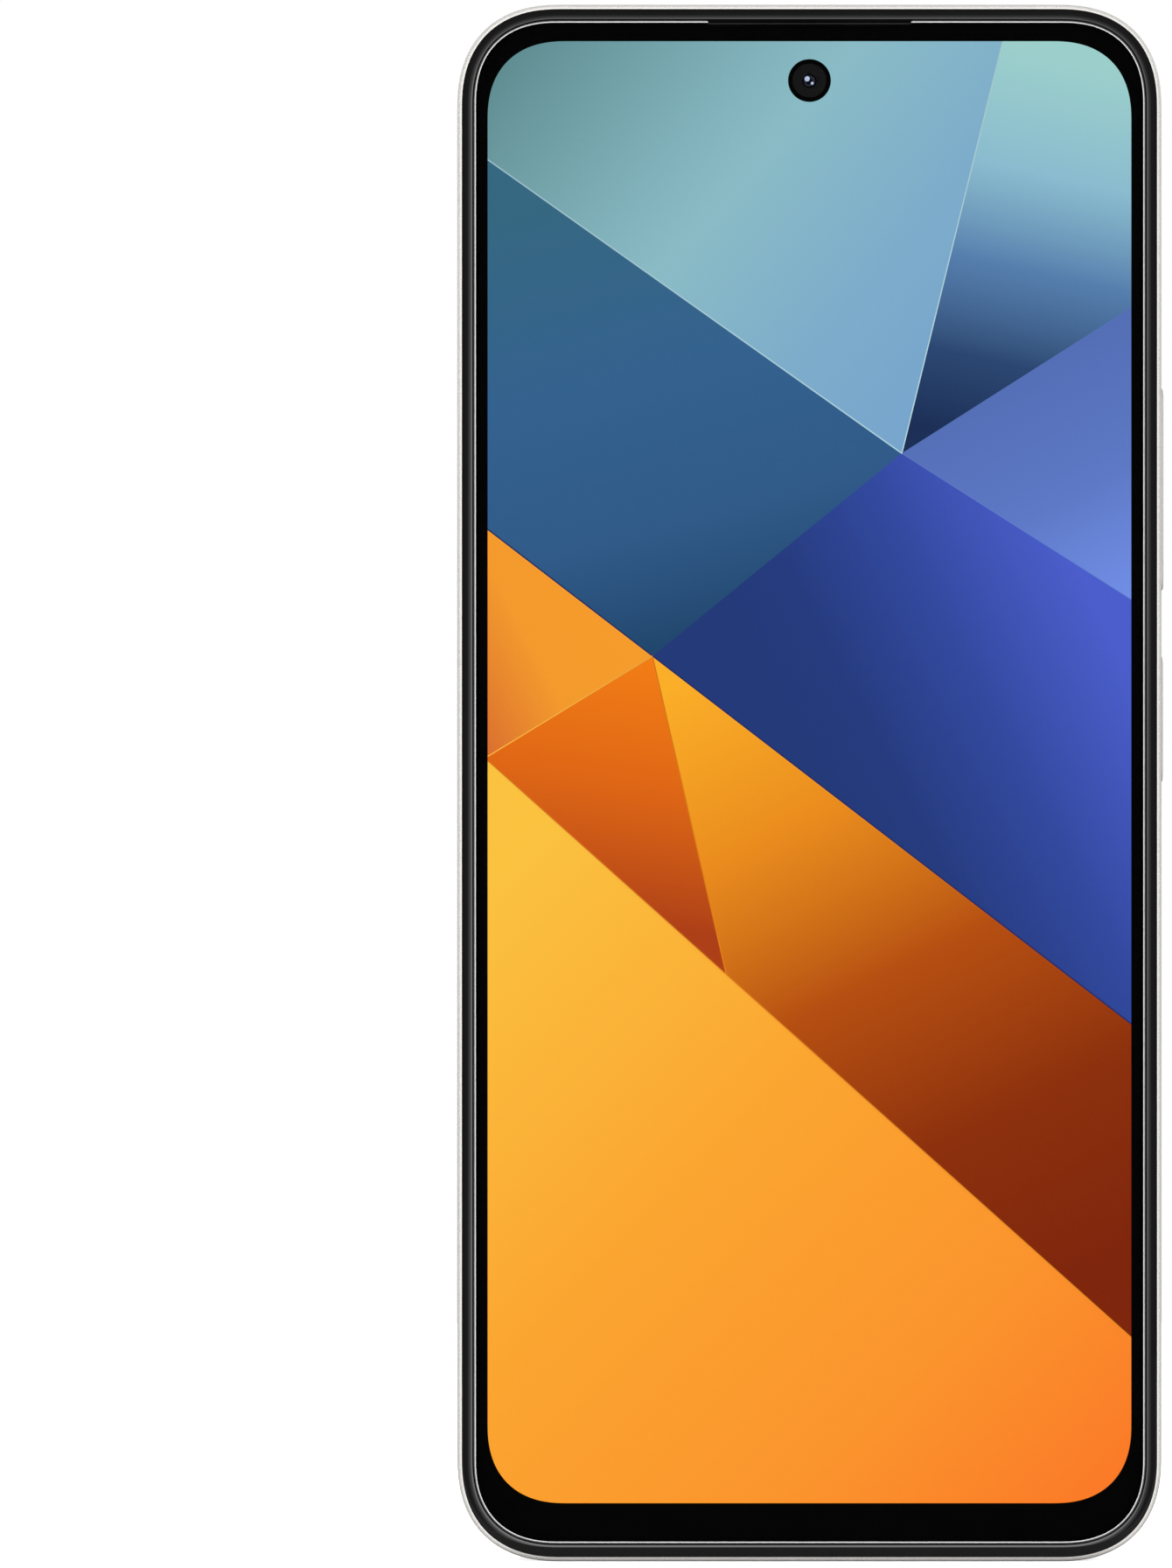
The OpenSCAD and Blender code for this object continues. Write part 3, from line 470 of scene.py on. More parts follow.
def grooved_ring(name, x, z):
    """Clear plastic over silver, with grooves that wander as they run round (x, z). Its colour is
    painted darker in the bottom of each groove, as painted shade.
    """
    m = Material(name, Coat_Weight=0.5, Coat_Roughness=0.05)
    radius, angle = m.polar(x, z)
    wander = m.times(m.maths("SINE", m.times(angle, 3.0)), 2.5)
    groove = m.maths("SINE", m.maths("MULTIPLY_ADD", radius, 17.0, wander))
    # Painted shade: the colour is darker in the bottom of each groove
    level = m.spread(m.maths("MULTIPLY_ADD", m.noise(2.5), 3.0, groove), 0, 1, -0.2, 2.8)
    m.feed("Base Color", m.mix(level, grey(150), grey(246)))
    m.feed("Roughness", m.spread(level, 0.2, 0.35, 0, 1))
    m.bump(groove, 0.004)
    return m.data


def coated_lens(name, colour, coat=1.0, specular=0.9):
    """A lens element with a coloured coating over a deep dark barrel. Its colour is painted darker
    face on and brighter towards the rim as seen, a painted sheen.
    """
    m = Material(name, Coat_Weight=coat, Coat_Roughness=0.02, Specular_IOR_Level=specular)
    # Painted sheen: darker face on and brighter towards the rim as seen
    rim = m.add("ShaderNodeLayerWeight", Blend=0.45)
    m.feed("Base Color", m.mix(rim.outputs["Facing"], shade(colour, 0.5), shade(colour, 1.4)))
    m.feed("Roughness", m.spread(m.noise(1.0), 0.03, 0.06))
    return m.data


def back_lacquer(name):
    """Warm silver with a fine sparkle under a glossy coat. A level split crosses the back below
    the cameras, and each half is painted darker downwards, as painted shade; a darker facet lies
    beside the split."""
    m = Material(name, Metallic=0.35, Coat_Weight=0.7, Coat_Roughness=0.06)
    split_z, facet_x, facet_slope = 112.6, -2.4, -0.395
    painted_shade_bottom, painted_shade_top = 0.72, 1.0
    parts = m.add("ShaderNodeSeparateXYZ", Vector=m.place())
    x = m.times(parts.outputs["X"], 1 / MM)
    z = m.times(parts.outputs["Z"], 1 / MM)
    above = m.maths("GREATER_THAN", z, split_z)
    # Painted shade: each half of the back is painted darker towards its bottom
    upper = m.spread(z, 0.84, painted_shade_top, split_z, BODY_H)
    lower = m.spread(z, painted_shade_bottom, 0.97, 0, split_z)
    edge_x = m.maths("MULTIPLY_ADD", m.maths("SUBTRACT", z, split_z), facet_slope, facet_x)
    facet = m.times(above, m.maths("LESS_THAN", x, edge_x))
    tone_with_painted_shade = m.maths("ADD", m.times(above, upper),
                    m.times(m.maths("SUBTRACT", 1.0, above), lower))
    tone_with_painted_shade = m.times(tone_with_painted_shade, m.maths("SUBTRACT", 1.0, m.times(facet, 0.07)))
    flake = m.add("ShaderNodeTexVoronoi", Scale=7 / MM, Vector=m.place())
    glitter = m.spread(flake.outputs["Color"], -0.18, 0.18, 0, 1)
    fine = m.spread(m.noise(11, 2), -0.05, 0.05)
    level = m.times(tone_with_painted_shade, m.maths("ADD", 1.0, m.maths("ADD", glitter, fine)))
    base = srgb(246, 244, 239)
    m.feed("Base Color", m.mix(level, (0, 0, 0, 1), base))
    m.feed("Roughness", m.spread(flake.outputs["Distance"], 0.3, 0.45, 0, 1))
    m.bump(m.noise(8, 2), 0.002, 0.5)
    return m.data


SILVER = silver_lacquer("silver_lacquer")
KEY_SILVER = silver_lacquer("key_silver", 207)
BEZEL_BLACK = polished_black("bezel_black")
MASK_BLACK = grained("mask_black", grey(4), 0.6, vary=0.2, scale=3, bump=0.0005,
                     Specular_IOR_Level=0.0)
WELL_GREY = grained("well_grey", grey(13), 0.6, vary=0.2, scale=5, bump=0.0005,
                    Specular_IOR_Level=0.05)
SCREEN_GLASS = clear_glass("screen_glass")
GLASS_EDGE = clear_glass("glass_edge", face_on=0.5, rough=0.04)
LENS_WINDOW = clear_glass("lens_window", face_on=0.01)
BACK_SILVER = back_lacquer("back_silver")
RING_SILVER = grained("ring_silver", srgb(240, 239, 236), 0.18, metal=0.55, vary=0.03, scale=8,
                      bump=0.0001)
RING_BLACK = polished_black("ring_black")
CAMERA_BLACK = grained("camera_black", grey(5), 0.5, vary=0.2, scale=5, bump=0.001,
                       Specular_IOR_Level=0.15)
BARREL_GREY = grained("barrel_grey", grey(27), 0.5, vary=0.15, scale=5, bump=0.001,
                      Specular_IOR_Level=0.2)
LENS_BLUE = coated_lens("lens_blue", srgb(12, 24, 92))
LENS_DEEP = coated_lens("lens_deep", srgb(8, 10, 26), coat=0.1, specular=0.1)
# Painted glints: a pale colour that stands in for reflections inside the lenses
PAINTED_GLINT = coated_lens("painted_lens_glint", srgb(198, 218, 255))
DARK_MESH = brushed("dark_mesh", grey(70), 0.4, "X", 0.2)
GOLD = brushed("gold_contact", srgb(214, 170, 88), 0.22, "Y")
STEEL = brushed("bright_steel", srgb(188, 188, 186), 0.25, "Z")
MOULDED_BLACK = grained("moulded_black", grey(30), 0.55, vary=0.2, scale=7, bump=0.003)
LED_YELLOW = grained("led_phosphor", srgb(232, 226, 160), 0.5, vary=0.08, scale=12, bump=0.003)
SENSOR_FACE = grained("sensor_face", srgb(196, 195, 191), 0.35, metal=0.4, vary=0.05, scale=10,
                      bump=0.001)

# ---- camera, light and floor

CAMERA_LENS = 200
SENSOR = 36
# The height that the picture shows at the phone's front, and what its middle looks at
PICTURE_H = 169.6
CAMERA_X = -24.2
CAMERA_Z = 84.2


def make_camera():
    data = bpy.data.cameras.new("camera")
    data.lens, data.sensor_width = CAMERA_LENS, SENSOR
    data.clip_start, data.clip_end = 0.01, 100
    distance = PICTURE_H * CAMERA_LENS / SENSOR
    camera = link("camera", data)
    camera.location = [c * MM for c in (CAMERA_X, FRONT_Y - distance, CAMERA_Z)]
    camera.rotation_euler = (math.pi / 2, 0, 0)
    bpy.context.scene.camera = camera


def make_light(name, place, size, watts, mirrored=True):
    """A soft box that faces the phone. One that isn't mirrored doesn't show in glossy surfaces."""
    data = bpy.data.lights.new(name, "AREA")
    data.shape, data.size, data.size_y = "RECTANGLE", size[0], size[1]
    data.energy = watts
    light = link(name, data)
    light.location = place
    aim = Vector((0, 0, BODY_H * MM / 2)) - Vector(place)
    light.rotation_mode = "QUATERNION"
    light.rotation_quaternion = aim.to_track_quat("-Z", "Y")
    light.visible_glossy = mirrored


def make_lights():
    make_light("front_fill", (-0.15, -1.25, 0.35), (0.9, 0.9), 8.6, mirrored=False)
    make_light("left_fill", (-1.0, -0.3, 0.3), (0.4, 0.9), 3.5, mirrored=False)
    make_light("right_fill", (1.0, -0.3, 0.3), (0.4, 0.9), 3.5, mirrored=False)
    make_light("top_panel", (0, -0.1, 1.1), (0.9, 0.5), 2, mirrored=False)
    make_light("back_fill", (0.1, 1.25, 0.45), (0.9, 0.9), 12, mirrored=False)
    make_light("back_left", (0.8, 0.8, 0.55), (0.5, 0.7), 1.4)
    make_light("back_right", (-0.8, 0.8, 0.5), (0.5, 0.7), 1.0)


# What mirrors see, by how far a direction turns from straight ahead of the screen (0) to
# straight behind the phone (1): a black flag ahead, a light ring round it, a dark gap to the
# sides and a bright sweep behind
SKY_STOPS = [
    (0.0, 0.0), (0.012, 0.0), (0.022, 1.2), (0.045, 2.6), (0.085, 1.9), (0.15, 0.5), (0.26, 0.1),
    (0.5, 0.06), (0.62, 0.1), (0.74, 0.45), (0.97, 0.55), (0.988, 0.04), (1.0, 0.03),
]


def make_world():
    """A white sky for the camera, and the light tent of SKY_STOPS for every other ray."""
    world = bpy.data.worlds.new("studio")
    bpy.context.scene.world = world
    w = Nodes(world, "Background")
    way = w.add("ShaderNodeSeparateXYZ", Vector=w.add("ShaderNodeTexCoord").outputs["Generated"])
    turn = w.spread(way.outputs["Y"], 0, 1, -1, 1)
    brightest = max(light for _, light in SKY_STOPS)
    stops = [(at, [light / brightest] * 3 + [1]) for at, light in SKY_STOPS]
    tent = w.times(w.ramp(turn, stops), brightest)
    seen = w.add("ShaderNodeLightPath").outputs["Is Camera Ray"]
    w.feed("Color", (1, 1, 1, 1))
    w.feed("Strength", w.maths("MULTIPLY_ADD", seen, w.maths("SUBTRACT", 1.0, tent), tent))


def make_floor():
    """A sheet of white paper under and behind the phone. Only the camera sees it glow, so it
    doesn't light the phone from below."""
    m = Material("floor_paper", Roughness=0.9, Specular_IOR_Level=0.1)
    fibre = m.spread(m.noise(0.4, 3), 0, 1)
    seen = m.add("ShaderNodeLightPath").outputs["Is Camera Ray"]
    m.feed("Base Color", m.mix(seen, grey(120), m.mix(fibre, grey(236), grey(242))))
    m.feed("Emission Color", m.mix(fibre, grey(250), grey(255)))
    m.feed("Emission Strength", m.times(seen, 0.8))
    wide, deep, corner_r, front_y, thick = 700, 420, 40, -6, 1
    sheet = outline(wide, deep, corner_r, 0, front_y + deep / 2)
    loft("floor", [[(x, z, level) for x, _, z in sheet] for level in (0, -thick)], m.data)


# ---- casing

KEY_Y = 0.2
KEY_WIDTH = 2.4
KEY_LENGTHS = {"volume_key": 21.95, "power_key": 13.7}

# Round holes: x, y and radius
JACK = (-20.0, 1.1, 1.95)
TOP_MIC = (6.2, 0.7, 0.5)
IR = (16.0, 0.7, 1.1)
BOTTOM_MIC = (-9.0, 0.7, 0.5)

# The charging socket, and the grille's slots
USB_Y = 0.5
USB_W, USB_T = 8.94, 3.16
GRILLE_X = [14.9 + 2.3 * i for i in range(6)]
GRILLE_Y = 0.5
GRILLE_LENGTH, GRILLE_WIDTH = 1.5, 1.0

TRAY_LOW, TRAY_HIGH = node_box("tray")
TRAY_Z = (TRAY_LOW[2] + TRAY_HIGH[2]) / 2
TRAY_Y = 1.0
TRAY_LENGTH, TRAY_WIDTH = 15.8, 2.4
EJECT_Z = 129.2


def slot_cutter(side, at, length, width, mouth, deep, chamfer=0.25):
    """A slot's cutter whose mouth is chamfered. mouth and deep are places along the cut."""
    inward = 1 if deep > mouth else -1
    steps = ((-0.4, chamfer + 0.4), (chamfer, 0.0), (abs(deep - mouth), 0.0))
    rings = []
    for depth, grow in steps:
        points = pill_points(length + 2 * grow, width + 2 * grow)
        rings.append(facing(points, side, at, mouth + inward * depth))
    return loft("cutter", rings, SILVER)


def frame_section():
    """The side frame's section, as (inset, depth) points: a crisp front lip that holds the
    bezel, a flat side and a rounded back edge."""
    front_r, back_r = 0.5, 1.1
    lip_y, seat_y, cover_seat = -3.35, -2.6, 3.3
    front = arc((front_r, lip_y + front_r), front_r, 270, 180, 6)
    back = arc((back_r, BACK_Y - back_r), back_r, 180, 90, 12)
    return [(LIP, seat_y), (LIP, lip_y + 0.02)] + front + back + [
        (RIM - 0.02, BACK_Y), (RIM, BACK_Y - 0.03), (RIM, cover_seat), (WALL, cover_seat),
        (WALL, seat_y)]


def round_cutter(x, y, radius, top=True):
    z = BODY_H if top else 0.0
    deep = z - WALL - 1 if top else WALL + 1
    return slot_cutter("z", (x, y, 0), 2 * radius + 0.002, 2 * radius, z, deep, 0.12)


def key_place(node):
    """Where a key's flange begins, and how high its middle is."""
    low, high = node_box(node)
    return low[0], (low[2] + high[2]) / 2


def make_side_frame():
    rings = [body_ring(inset, y) for inset, y in frame_section()]
    shell = loft("side_frame_shell", rings, SILVER, closed=True)
    side = BODY_W / 2
    deep = WALL + 1
    gap = 0.2
    cutters = [round_cutter(*hole) for hole in (JACK, TOP_MIC, IR)]
    cutters.append(round_cutter(*BOTTOM_MIC, top=False))
    cutters.append(slot_cutter("z", (0, USB_Y, 0), USB_W + 0.26, USB_T + 0.26, 0, deep, 0.2))
    for x in GRILLE_X:
        at = (x, GRILLE_Y, 0)
        cutters.append(slot_cutter("z", at, GRILLE_LENGTH, GRILLE_WIDTH, 0, deep, 0.12))
    for node, length in KEY_LENGTHS.items():
        at = (0, KEY_Y, key_place(node)[1])
        cutters.append(slot_cutter("x", at, length + gap, KEY_WIDTH + gap, side, side - deep, 0.08))
    for z, length, width, chamfer in ((TRAY_Z, TRAY_LENGTH + gap, TRAY_WIDTH + gap, 0.06),
                                      (EJECT_Z, 1.002, 1.0, 0.12)):
        at = (0, TRAY_Y, z)
        cutters.append(slot_cutter("x", at, length, width, -side, -side + deep, chamfer))
    carve(shell, cutters)
    add_piece(shell, stands_for=["side_frame"])


def make_bezel():
    """The black ring between the frame's lip and the glass: an arc in section, with the glass's
    seat inside it."""
    seat_y, ledge_y = -2.6, -2.95
    centre, radius = (2.3, -1.7), 2.36
    start = math.degrees(math.acos((LIP - centre[0]) / radius))
    face = arc(centre, radius, -start, -92, 16)
    outside = [body_ring(LIP, seat_y)] + [body_ring(inset, y) for inset, y in face[:-1]]
    glass_gap = 0.05
    top = face[-1][1]
    shelf_in, shelf_y, chamfer = 3.0, GLASS_BACK + 0.1, 0.06
    inside = [glass_ring(-glass_gap - chamfer, top), glass_ring(-glass_gap, top + chamfer),
              glass_ring(-glass_gap, shelf_y), body_ring(shelf_in, shelf_y),
              body_ring(shelf_in, ledge_y), body_ring(WALL, ledge_y), body_ring(WALL, seat_y)]
    ring = loft("front_bezel_ring", outside + inside, BEZEL_BLACK, closed=True)
    add_piece(ring, stands_for=["front_bezel"])


# The earpiece's slit: half its width at the glass's edge, how much narrower that is below, and
# its lower and upper edge
SLIT = {"half": 11.65, "slant": 0.75, "low": 166.4, "high": GLASS_HIGH[2]}


def slit_ring(y, gap, high):
    wide = SLIT["half"] - gap
    narrow = wide - SLIT["slant"]
    low = SLIT["low"] + gap
    return [(-narrow, y, low), (narrow, y, low), (wide, y, high), (-wide, y, high)]


def slit_cutter(front, back, gap, material):
    rings = [slit_ring(y, gap, SLIT["high"] + 1) for y in (front - 1, back + 1)]
    return loft("cutter", rings, material)


def make_glass():
    """The cover glass, its front edge turned down in a shallow curve."""
    edge_w, edge_d, steps = 0.34, 0.12, 8
    rings = [glass_ring(0.05, GLASS_BACK), glass_ring(0, GLASS_BACK - 0.05)]
    for i in range(steps + 1):
        rings.append(glass_ring(edge_w * i / steps, FRONT_Y + edge_d * (1 - i / steps) ** 2))
    glass = loft("cover_glass_pane", rings, SCREEN_GLASS)
    carve(glass, [slit_cutter(FRONT_Y, GLASS_BACK, 0, SCREEN_GLASS)])
    # Only the curved edge gets the brighter glass: neither the flat face nor the sides
    glass.data.materials.append(GLASS_EDGE)
    for face in glass.data.polygons:
        if face.center.y / MM < FRONT_Y + edge_d and -0.995 < face.normal.y < 0.1:
            face.material_index = 1
    add_piece(glass, stands_for=["cover_glass"])


def screen_ring(grow, y):
    return outline(SCREEN_W + 2 * grow, SCREEN_HIGH - SCREEN_LOW + 2 * grow, SCREEN_R + grow, y,
                   (SCREEN_LOW + SCREEN_HIGH) / 2)


def make_mask():
    """The black print behind the edge of the glass, with the display's window in it."""
    front, back = GLASS_BACK + 0.01, GLASS_BACK + 0.05
    margin = 0.25
    rings = [glass_ring(margin, front), screen_ring(0, front), screen_ring(0, back),
             glass_ring(margin, back)]
    mask = loft("glass_print", rings, MASK_BLACK, closed=True)
    carve(mask, [slit_cutter(front, back, -0.2, MASK_BLACK)])
    add_piece(mask)


# ---- display picture

LEFT, RIGHT = -SCREEN_W / 2 - 0.3, SCREEN_W / 2 + 0.3
TOP, BOTTOM = SCREEN_HIGH + 0.3, SCREEN_LOW - 0.3


def meet(start, end, x):
    """The point at x on the line from start to end."""
    return x, start[1] + (end[1] - start[1]) * (x - start[0]) / (end[0] - start[0])


# The two long lines across the picture, where its facets meet, and where its side edges split
LONG_LINE = ((LEFT, 112), (RIGHT, 58))
LOW_LINE = ((LEFT, 87), (RIGHT, 24))
UPPER, MIDDLE, LOWER = (10, 120), meet(*LONG_LINE, -17), meet(*LOW_LINE, -9)
SKY_Z, SKY_X, VIOLET_HIGH, VIOLET_LOW = 152, 21, 136, 104

# Each facet: its corners, the line its colour runs along, and the colours on that line
FACETS = {
    "sky": ([(LEFT, TOP), (SKY_X, TOP), UPPER, (LEFT, SKY_Z)], (-34, 162), (13, 122),
            [(0.0, (94, 141, 146)), (0.45, (140, 190, 200)), (0.75, (126, 174, 206)),
             (1.0, (120, 166, 208))]),
    "mist": ([(SKY_X, TOP), (RIGHT, TOP), (RIGHT, VIOLET_HIGH), UPPER], (26, 163), (17, 122),
             [(0.0, (158, 210, 206)), (0.3, (140, 190, 210)), (0.55, (86, 128, 176)),
              (0.8, (40, 70, 114)), (1.0, (22, 44, 86))]),
    "teal": ([(LEFT, SKY_Z), UPPER, MIDDLE, LONG_LINE[0]], (-25, 148), (-12, 100),
             [(0.0, (52, 104, 130)), (0.4, (50, 98, 144)), (0.75, (46, 90, 138)),
              (1.0, (28, 70, 110))]),
    "violet": ([UPPER, (RIGHT, VIOLET_HIGH), (RIGHT, VIOLET_LOW)], (22, 128), (35, 103),
               [(0.0, (84, 112, 184)), (0.5, (94, 122, 200)), (1.0, (116, 146, 238))]),
    "indigo": ([UPPER, (RIGHT, VIOLET_LOW), LONG_LINE[1], MIDDLE], (35, 96), (4, 80),
               [(0.0, (74, 94, 206)), (0.45, (48, 72, 160)), (0.8, (34, 58, 128)),
                (1.0, (32, 56, 122))]),
    "amber": ([LONG_LINE[0], MIDDLE, LOW_LINE[0]], (-16, 98), (-35, 88),
              [(0.0, (250, 158, 40)), (0.55, (248, 156, 42)), (1.0, (222, 112, 44))]),
    "rust": ([MIDDLE, LOWER, LOW_LINE[0]], (-14, 97), (-18, 69),
             [(0.0, (246, 126, 12)), (0.45, (228, 104, 12)), (1.0, (176, 62, 16))]),
    "copper": ([MIDDLE, LONG_LINE[1], LOW_LINE[1], LOWER], (-12, 96), (22, 28),
               [(0.0, (255, 176, 36)), (0.25, (238, 142, 24)), (0.5, (184, 78, 6)),
                (0.75, (142, 46, 0)), (1.0, (128, 34, 0))]),
    "sun": ([LOW_LINE[0], LOWER, LOW_LINE[1], (RIGHT, BOTTOM), (LEFT, BOTTOM)], (-32, 76), (33, 10),
            [(0.0, (255, 196, 62)), (0.4, (255, 168, 46)), (0.75, (255, 150, 42)),
             (1.0, (255, 124, 36))]),
}
# Fine lines between facets: ends, colour and width
CREASES = [
    ((LEFT, SKY_Z), UPPER, (176, 214, 226), 0.14),
    ((SKY_X, TOP), UPPER, (186, 222, 228), 0.12),
    (UPPER, (RIGHT, VIOLET_LOW), (104, 132, 216), 0.1),
    (*LONG_LINE, (28, 40, 96), 0.14),
    (MIDDLE, LOW_LINE[0], (255, 186, 66), 0.12),
    (MIDDLE, LOWER, (232, 132, 20), 0.12),
    (*LOW_LINE, (236, 140, 30), 0.12),
]


def lit(name, start, end, stops):
    """Light of a colour that runs through the stops from start to end, both (x, z)."""
    m = Material(name, Specular_IOR_Level=0.05)
    way = Vector((end[0] - start[0], end[1] - start[1]))
    parts = m.add("ShaderNodeSeparateXYZ", Vector=m.place())
    scale = 1 / (way.length_squared * MM)
    along = m.maths("MULTIPLY_ADD", parts.outputs["X"], way.x * scale,
                    m.times(parts.outputs["Z"], way.y * scale))
    offset = (start[0] * way.x + start[1] * way.y) / way.length_squared
    share = m.maths("SUBTRACT", along, offset)
    colour = m.ramp(share, [(at, srgb(*rgb)) for at, rgb in stops])
    m.feed("Emission Color", colour)
    m.feed("Base Color", m.mix(m.noise(2), grey(0), grey(6)))
    m.feed("Roughness", m.spread(m.noise(4), 0.5, 0.7))
    m.shader.inputs["Emission Strength"].default_value = 1.0
    return m.data


PICTURE_Y = GLASS_BACK + 0.08


def make_panel():
    """The display's own plate behind the picture, with the front camera's hole."""
    low, high = node_box("display_panel")
    size = (high[0] - low[0], high[2] - low[2])
    mid = (high[2] + low[2]) / 2
    corner_r, hole_r = 6.7, 2.44
    front, back = PICTURE_Y + 0.02, high[1]
    depths = [(0.15, front), (0.0, front + 0.15), (0.0, back - 0.1), (0.1, back)]
    rings = [outline(size[0] - 2 * g, size[1] - 2 * g, corner_r - g, y, mid) for g, y in depths]
    panel = loft("display_plate", rings, MASK_BLACK)
    hole = [(hole_r, front - 1), (hole_r, back + 1)]
    carve(panel, [lathe("cutter", 0, SELFIE_Z, hole, MASK_BLACK)])
    add_piece(panel, stands_for=["display_panel"])


def clipped(polygon, line):
    """The part of a polygon to the left of a line (point, point), as for two-dimensional points."""
    (ax, az), (bx, bz) = line

    def side(p):
        return (bx - ax) * (p[1] - az) - (bz - az) * (p[0] - ax)

    kept = []
    for p, q in zip(polygon, polygon[1:] + polygon[:1]):
        sp, sq = side(p), side(q)
        if sp >= 0:
            kept.append(p)
        if sp * sq < 0:
            t = sp / (sp - sq)
            kept.append((p[0] + t * (q[0] - p[0]), p[1] + t * (q[1] - p[1])))
    return kept


def is_left_handed(polygon):
    """Whether a polygon runs anticlockwise, seen from the front."""
    pairs = zip(polygon, polygon[1:] + polygon[:1])
    return sum(p[0] * q[1] - q[0] * p[1] for p, q in pairs) > 0


def on_screen(polygon):
    """A polygon cut to the display's rounded outline, a little beyond the print's window."""
    edge = [(x, z) for x, _, z in screen_ring(0.2, 0)]
    for line in zip(edge, edge[1:] + edge[:1]):
        if math.dist(*line) > 1e-6 and polygon:
            polygon = clipped(polygon, line)
    return polygon


def around_hole(polygon):
    """A polygon without the front camera's hole, as a fan of convex pieces."""
    middle = (0, SELFIE_Z)
    rim = arc(middle, SELFIE_R, 0, 360, 64)
    pieces = []
    for a, b in zip(rim, rim[1:]):
        piece = polygon
        for line in ((middle, a), (b, middle), (b, a)):
            piece = clipped(piece, line)
        pieces.append(piece)
    return pieces


def make_picture():
    """The display's lit face: flat facets of abstract colour, each with its own run of tones."""
    bm = bmesh.new()
    mesh = bpy.data.meshes.new("display_face")
    for index, (name, (corners, start, end, stops)) in enumerate(FACETS.items()):
        mesh.materials.append(lit("lit_" + name, start, end, stops))
        shape = on_screen(corners if is_left_handed(corners) else corners[::-1])
        shapes = around_hole(shape) if name == "sky" else [shape]
        for points in shapes:
            face = bm.faces.new([bm.verts.new((x * MM, PICTURE_Y * MM, z * MM)) for x, z in points])
            face.material_index = index
    for start, end, rgb, width in CREASES:
        mesh.materials.append(lit("crease", start, end, [(0.0, [c * 0.9 for c in rgb]), (1.0, rgb)]))
        along = (Vector(end) - Vector(start)).normalized()
        across = Vector((-along.y, along.x)) * width / 2
        y = PICTURE_Y - 0.015
        start, end = Vector(start), Vector(end)
        strip = (start - across, end - across, end + across, start + across)
        points = on_screen([tuple(corner) for corner in strip])
        face = bm.faces.new([bm.verts.new((x * MM, y * MM, z * MM)) for x, z in points])
        face.material_index = len(mesh.materials) - 1
    for face in bm.faces:
        if face.normal.y > 0:
            face.normal_flip()
    bmesh.ops.triangulate(bm, faces=bm.faces)
    bm.to_mesh(mesh)
    bm.free()
    add_piece(link("display_face", mesh))


def make_selfie_camera():
    """The front camera in its hole: black ring, grey well with fine steps and a small dome."""
    ring_y = GLASS_BACK + 0.03
    well_r = 1.84
    section = [(SELFIE_R, ring_y), (well_r + 0.02, ring_y), (well_r, ring_y + 0.03),
               (well_r, ring_y + 0.05), (SELFIE_R, ring_y + 0.05)]
    add_turned("selfie_ring", 0, SELFIE_Z, section, MASK_BLACK, "bezel_black", closed=True)
    well = [(well_r, ring_y + 0.005)]
    for i in range(5):
        radius = 1.8 - 0.17 * i
        well += [(radius, ring_y + 0.01 + 0.007 * i), (radius - 0.1, ring_y + 0.012 + 0.007 * i)]
    well += [(0.8, ring_y + 0.045), (0.8, ring_y + 0.06), (well_r, ring_y + 0.06)]
    add_turned("selfie_well", 0, SELFIE_Z, well, WELL_GREY, "camera_black", closed=True)
    # Painted glints: small pale domes that stand in for reflections in the lens
    glints = (("selfie_glint_upper", -0.24, 0.2, 0.3), ("selfie_glint_lower", 0.3, -0.28, 0.17))
    for name, x, z, radius in glints:
        glint = [(radius, ring_y + 0.5)] + dome_arc(radius, ring_y + 0.24, -0.1, 6)
        add_turned(name, x, SELFIE_Z + z, glint, PAINTED_GLINT, "lens_glass", steps=32)
    lens_r = 0.79
    dome = [(lens_r, ring_y + 0.6)] + dome_arc(lens_r, ring_y + 0.42, -0.22, 8)
    add_turned("selfie_lens", 0, SELFIE_Z, dome, LENS_DEEP, "lens_glass", ["front_lens"], steps=48)


def make_earpiece():
    """A dark weave set back in the slit over the screen."""
    y = GLASS_BACK - 0.28
    rings = [slit_ring(depth, 0.02, SLIT["high"] - 0.01) for depth in (y + 0.1, y + 0.2)]
    back = loft("earpiece_backing", rings, MOULDED_BLACK)
    add_piece(back, stands_for=["earpiece_mesh"])
    wires = []
    half = SLIT["half"] - SLIT["slant"] - 0.05
    low = SLIT["low"]
    pitch, upright_r, level_r = 0.14, 0.03, 0.02
    for i in range(int(2 * half / pitch)):
        x = -half + pitch * (i + 0.5)
        wires.append(((x - upright_r, y, low + upright_r),
                      (x + upright_r, y + 2 * upright_r, SLIT["high"] - 0.02)))
    for z in (low + 0.08, low + 0.18, low + 0.28):
        wires.append(((-half, y - level_r, z - level_r), (half, y + 2 * level_r, z + level_r)))
    add_piece(soft_boxes("earpiece_weave", wires, DARK_MESH, 0.01))


# ---- back

REAR_X = 21.8
MAIN_Z = 152.4
SECOND_Z = 127.9
FLASH_X, FLASH_Z = 1.75, 140.1


def cover_ring(inset, y):
    return body_ring(RIM + 0.1 + inset, y)


def disc_cutter(x, z, radius):
    return lathe("cutter", x, z, [(radius, 2), (radius, 6)], BACK_SILVER)


def make_back_cover():
    edge, inner, ring_r, flash_r = 0.3, 3.4, 9.35, 6.35
    rows = [(inner, 0), (BACK_Y - edge, 0)] + soft_edge(BACK_Y, edge, 1, 6)
    rings = [cover_ring(inset, y) for y, inset in rows]
    cover = loft("back_cover_panel", rings, BACK_SILVER)
    holes = ((REAR_X, MAIN_Z, ring_r), (REAR_X, SECOND_Z, ring_r), (FLASH_X, FLASH_Z, flash_r))
    carve(cover, [disc_cutter(*hole) for hole in holes])
    add_piece(cover, stands_for=["back_cover"])


# How far a trim ring's shoulder starts below its top, and where its sleeve ends inside
SHOULDER_DROP = 0.1
SLEEVE_Y = 3.45


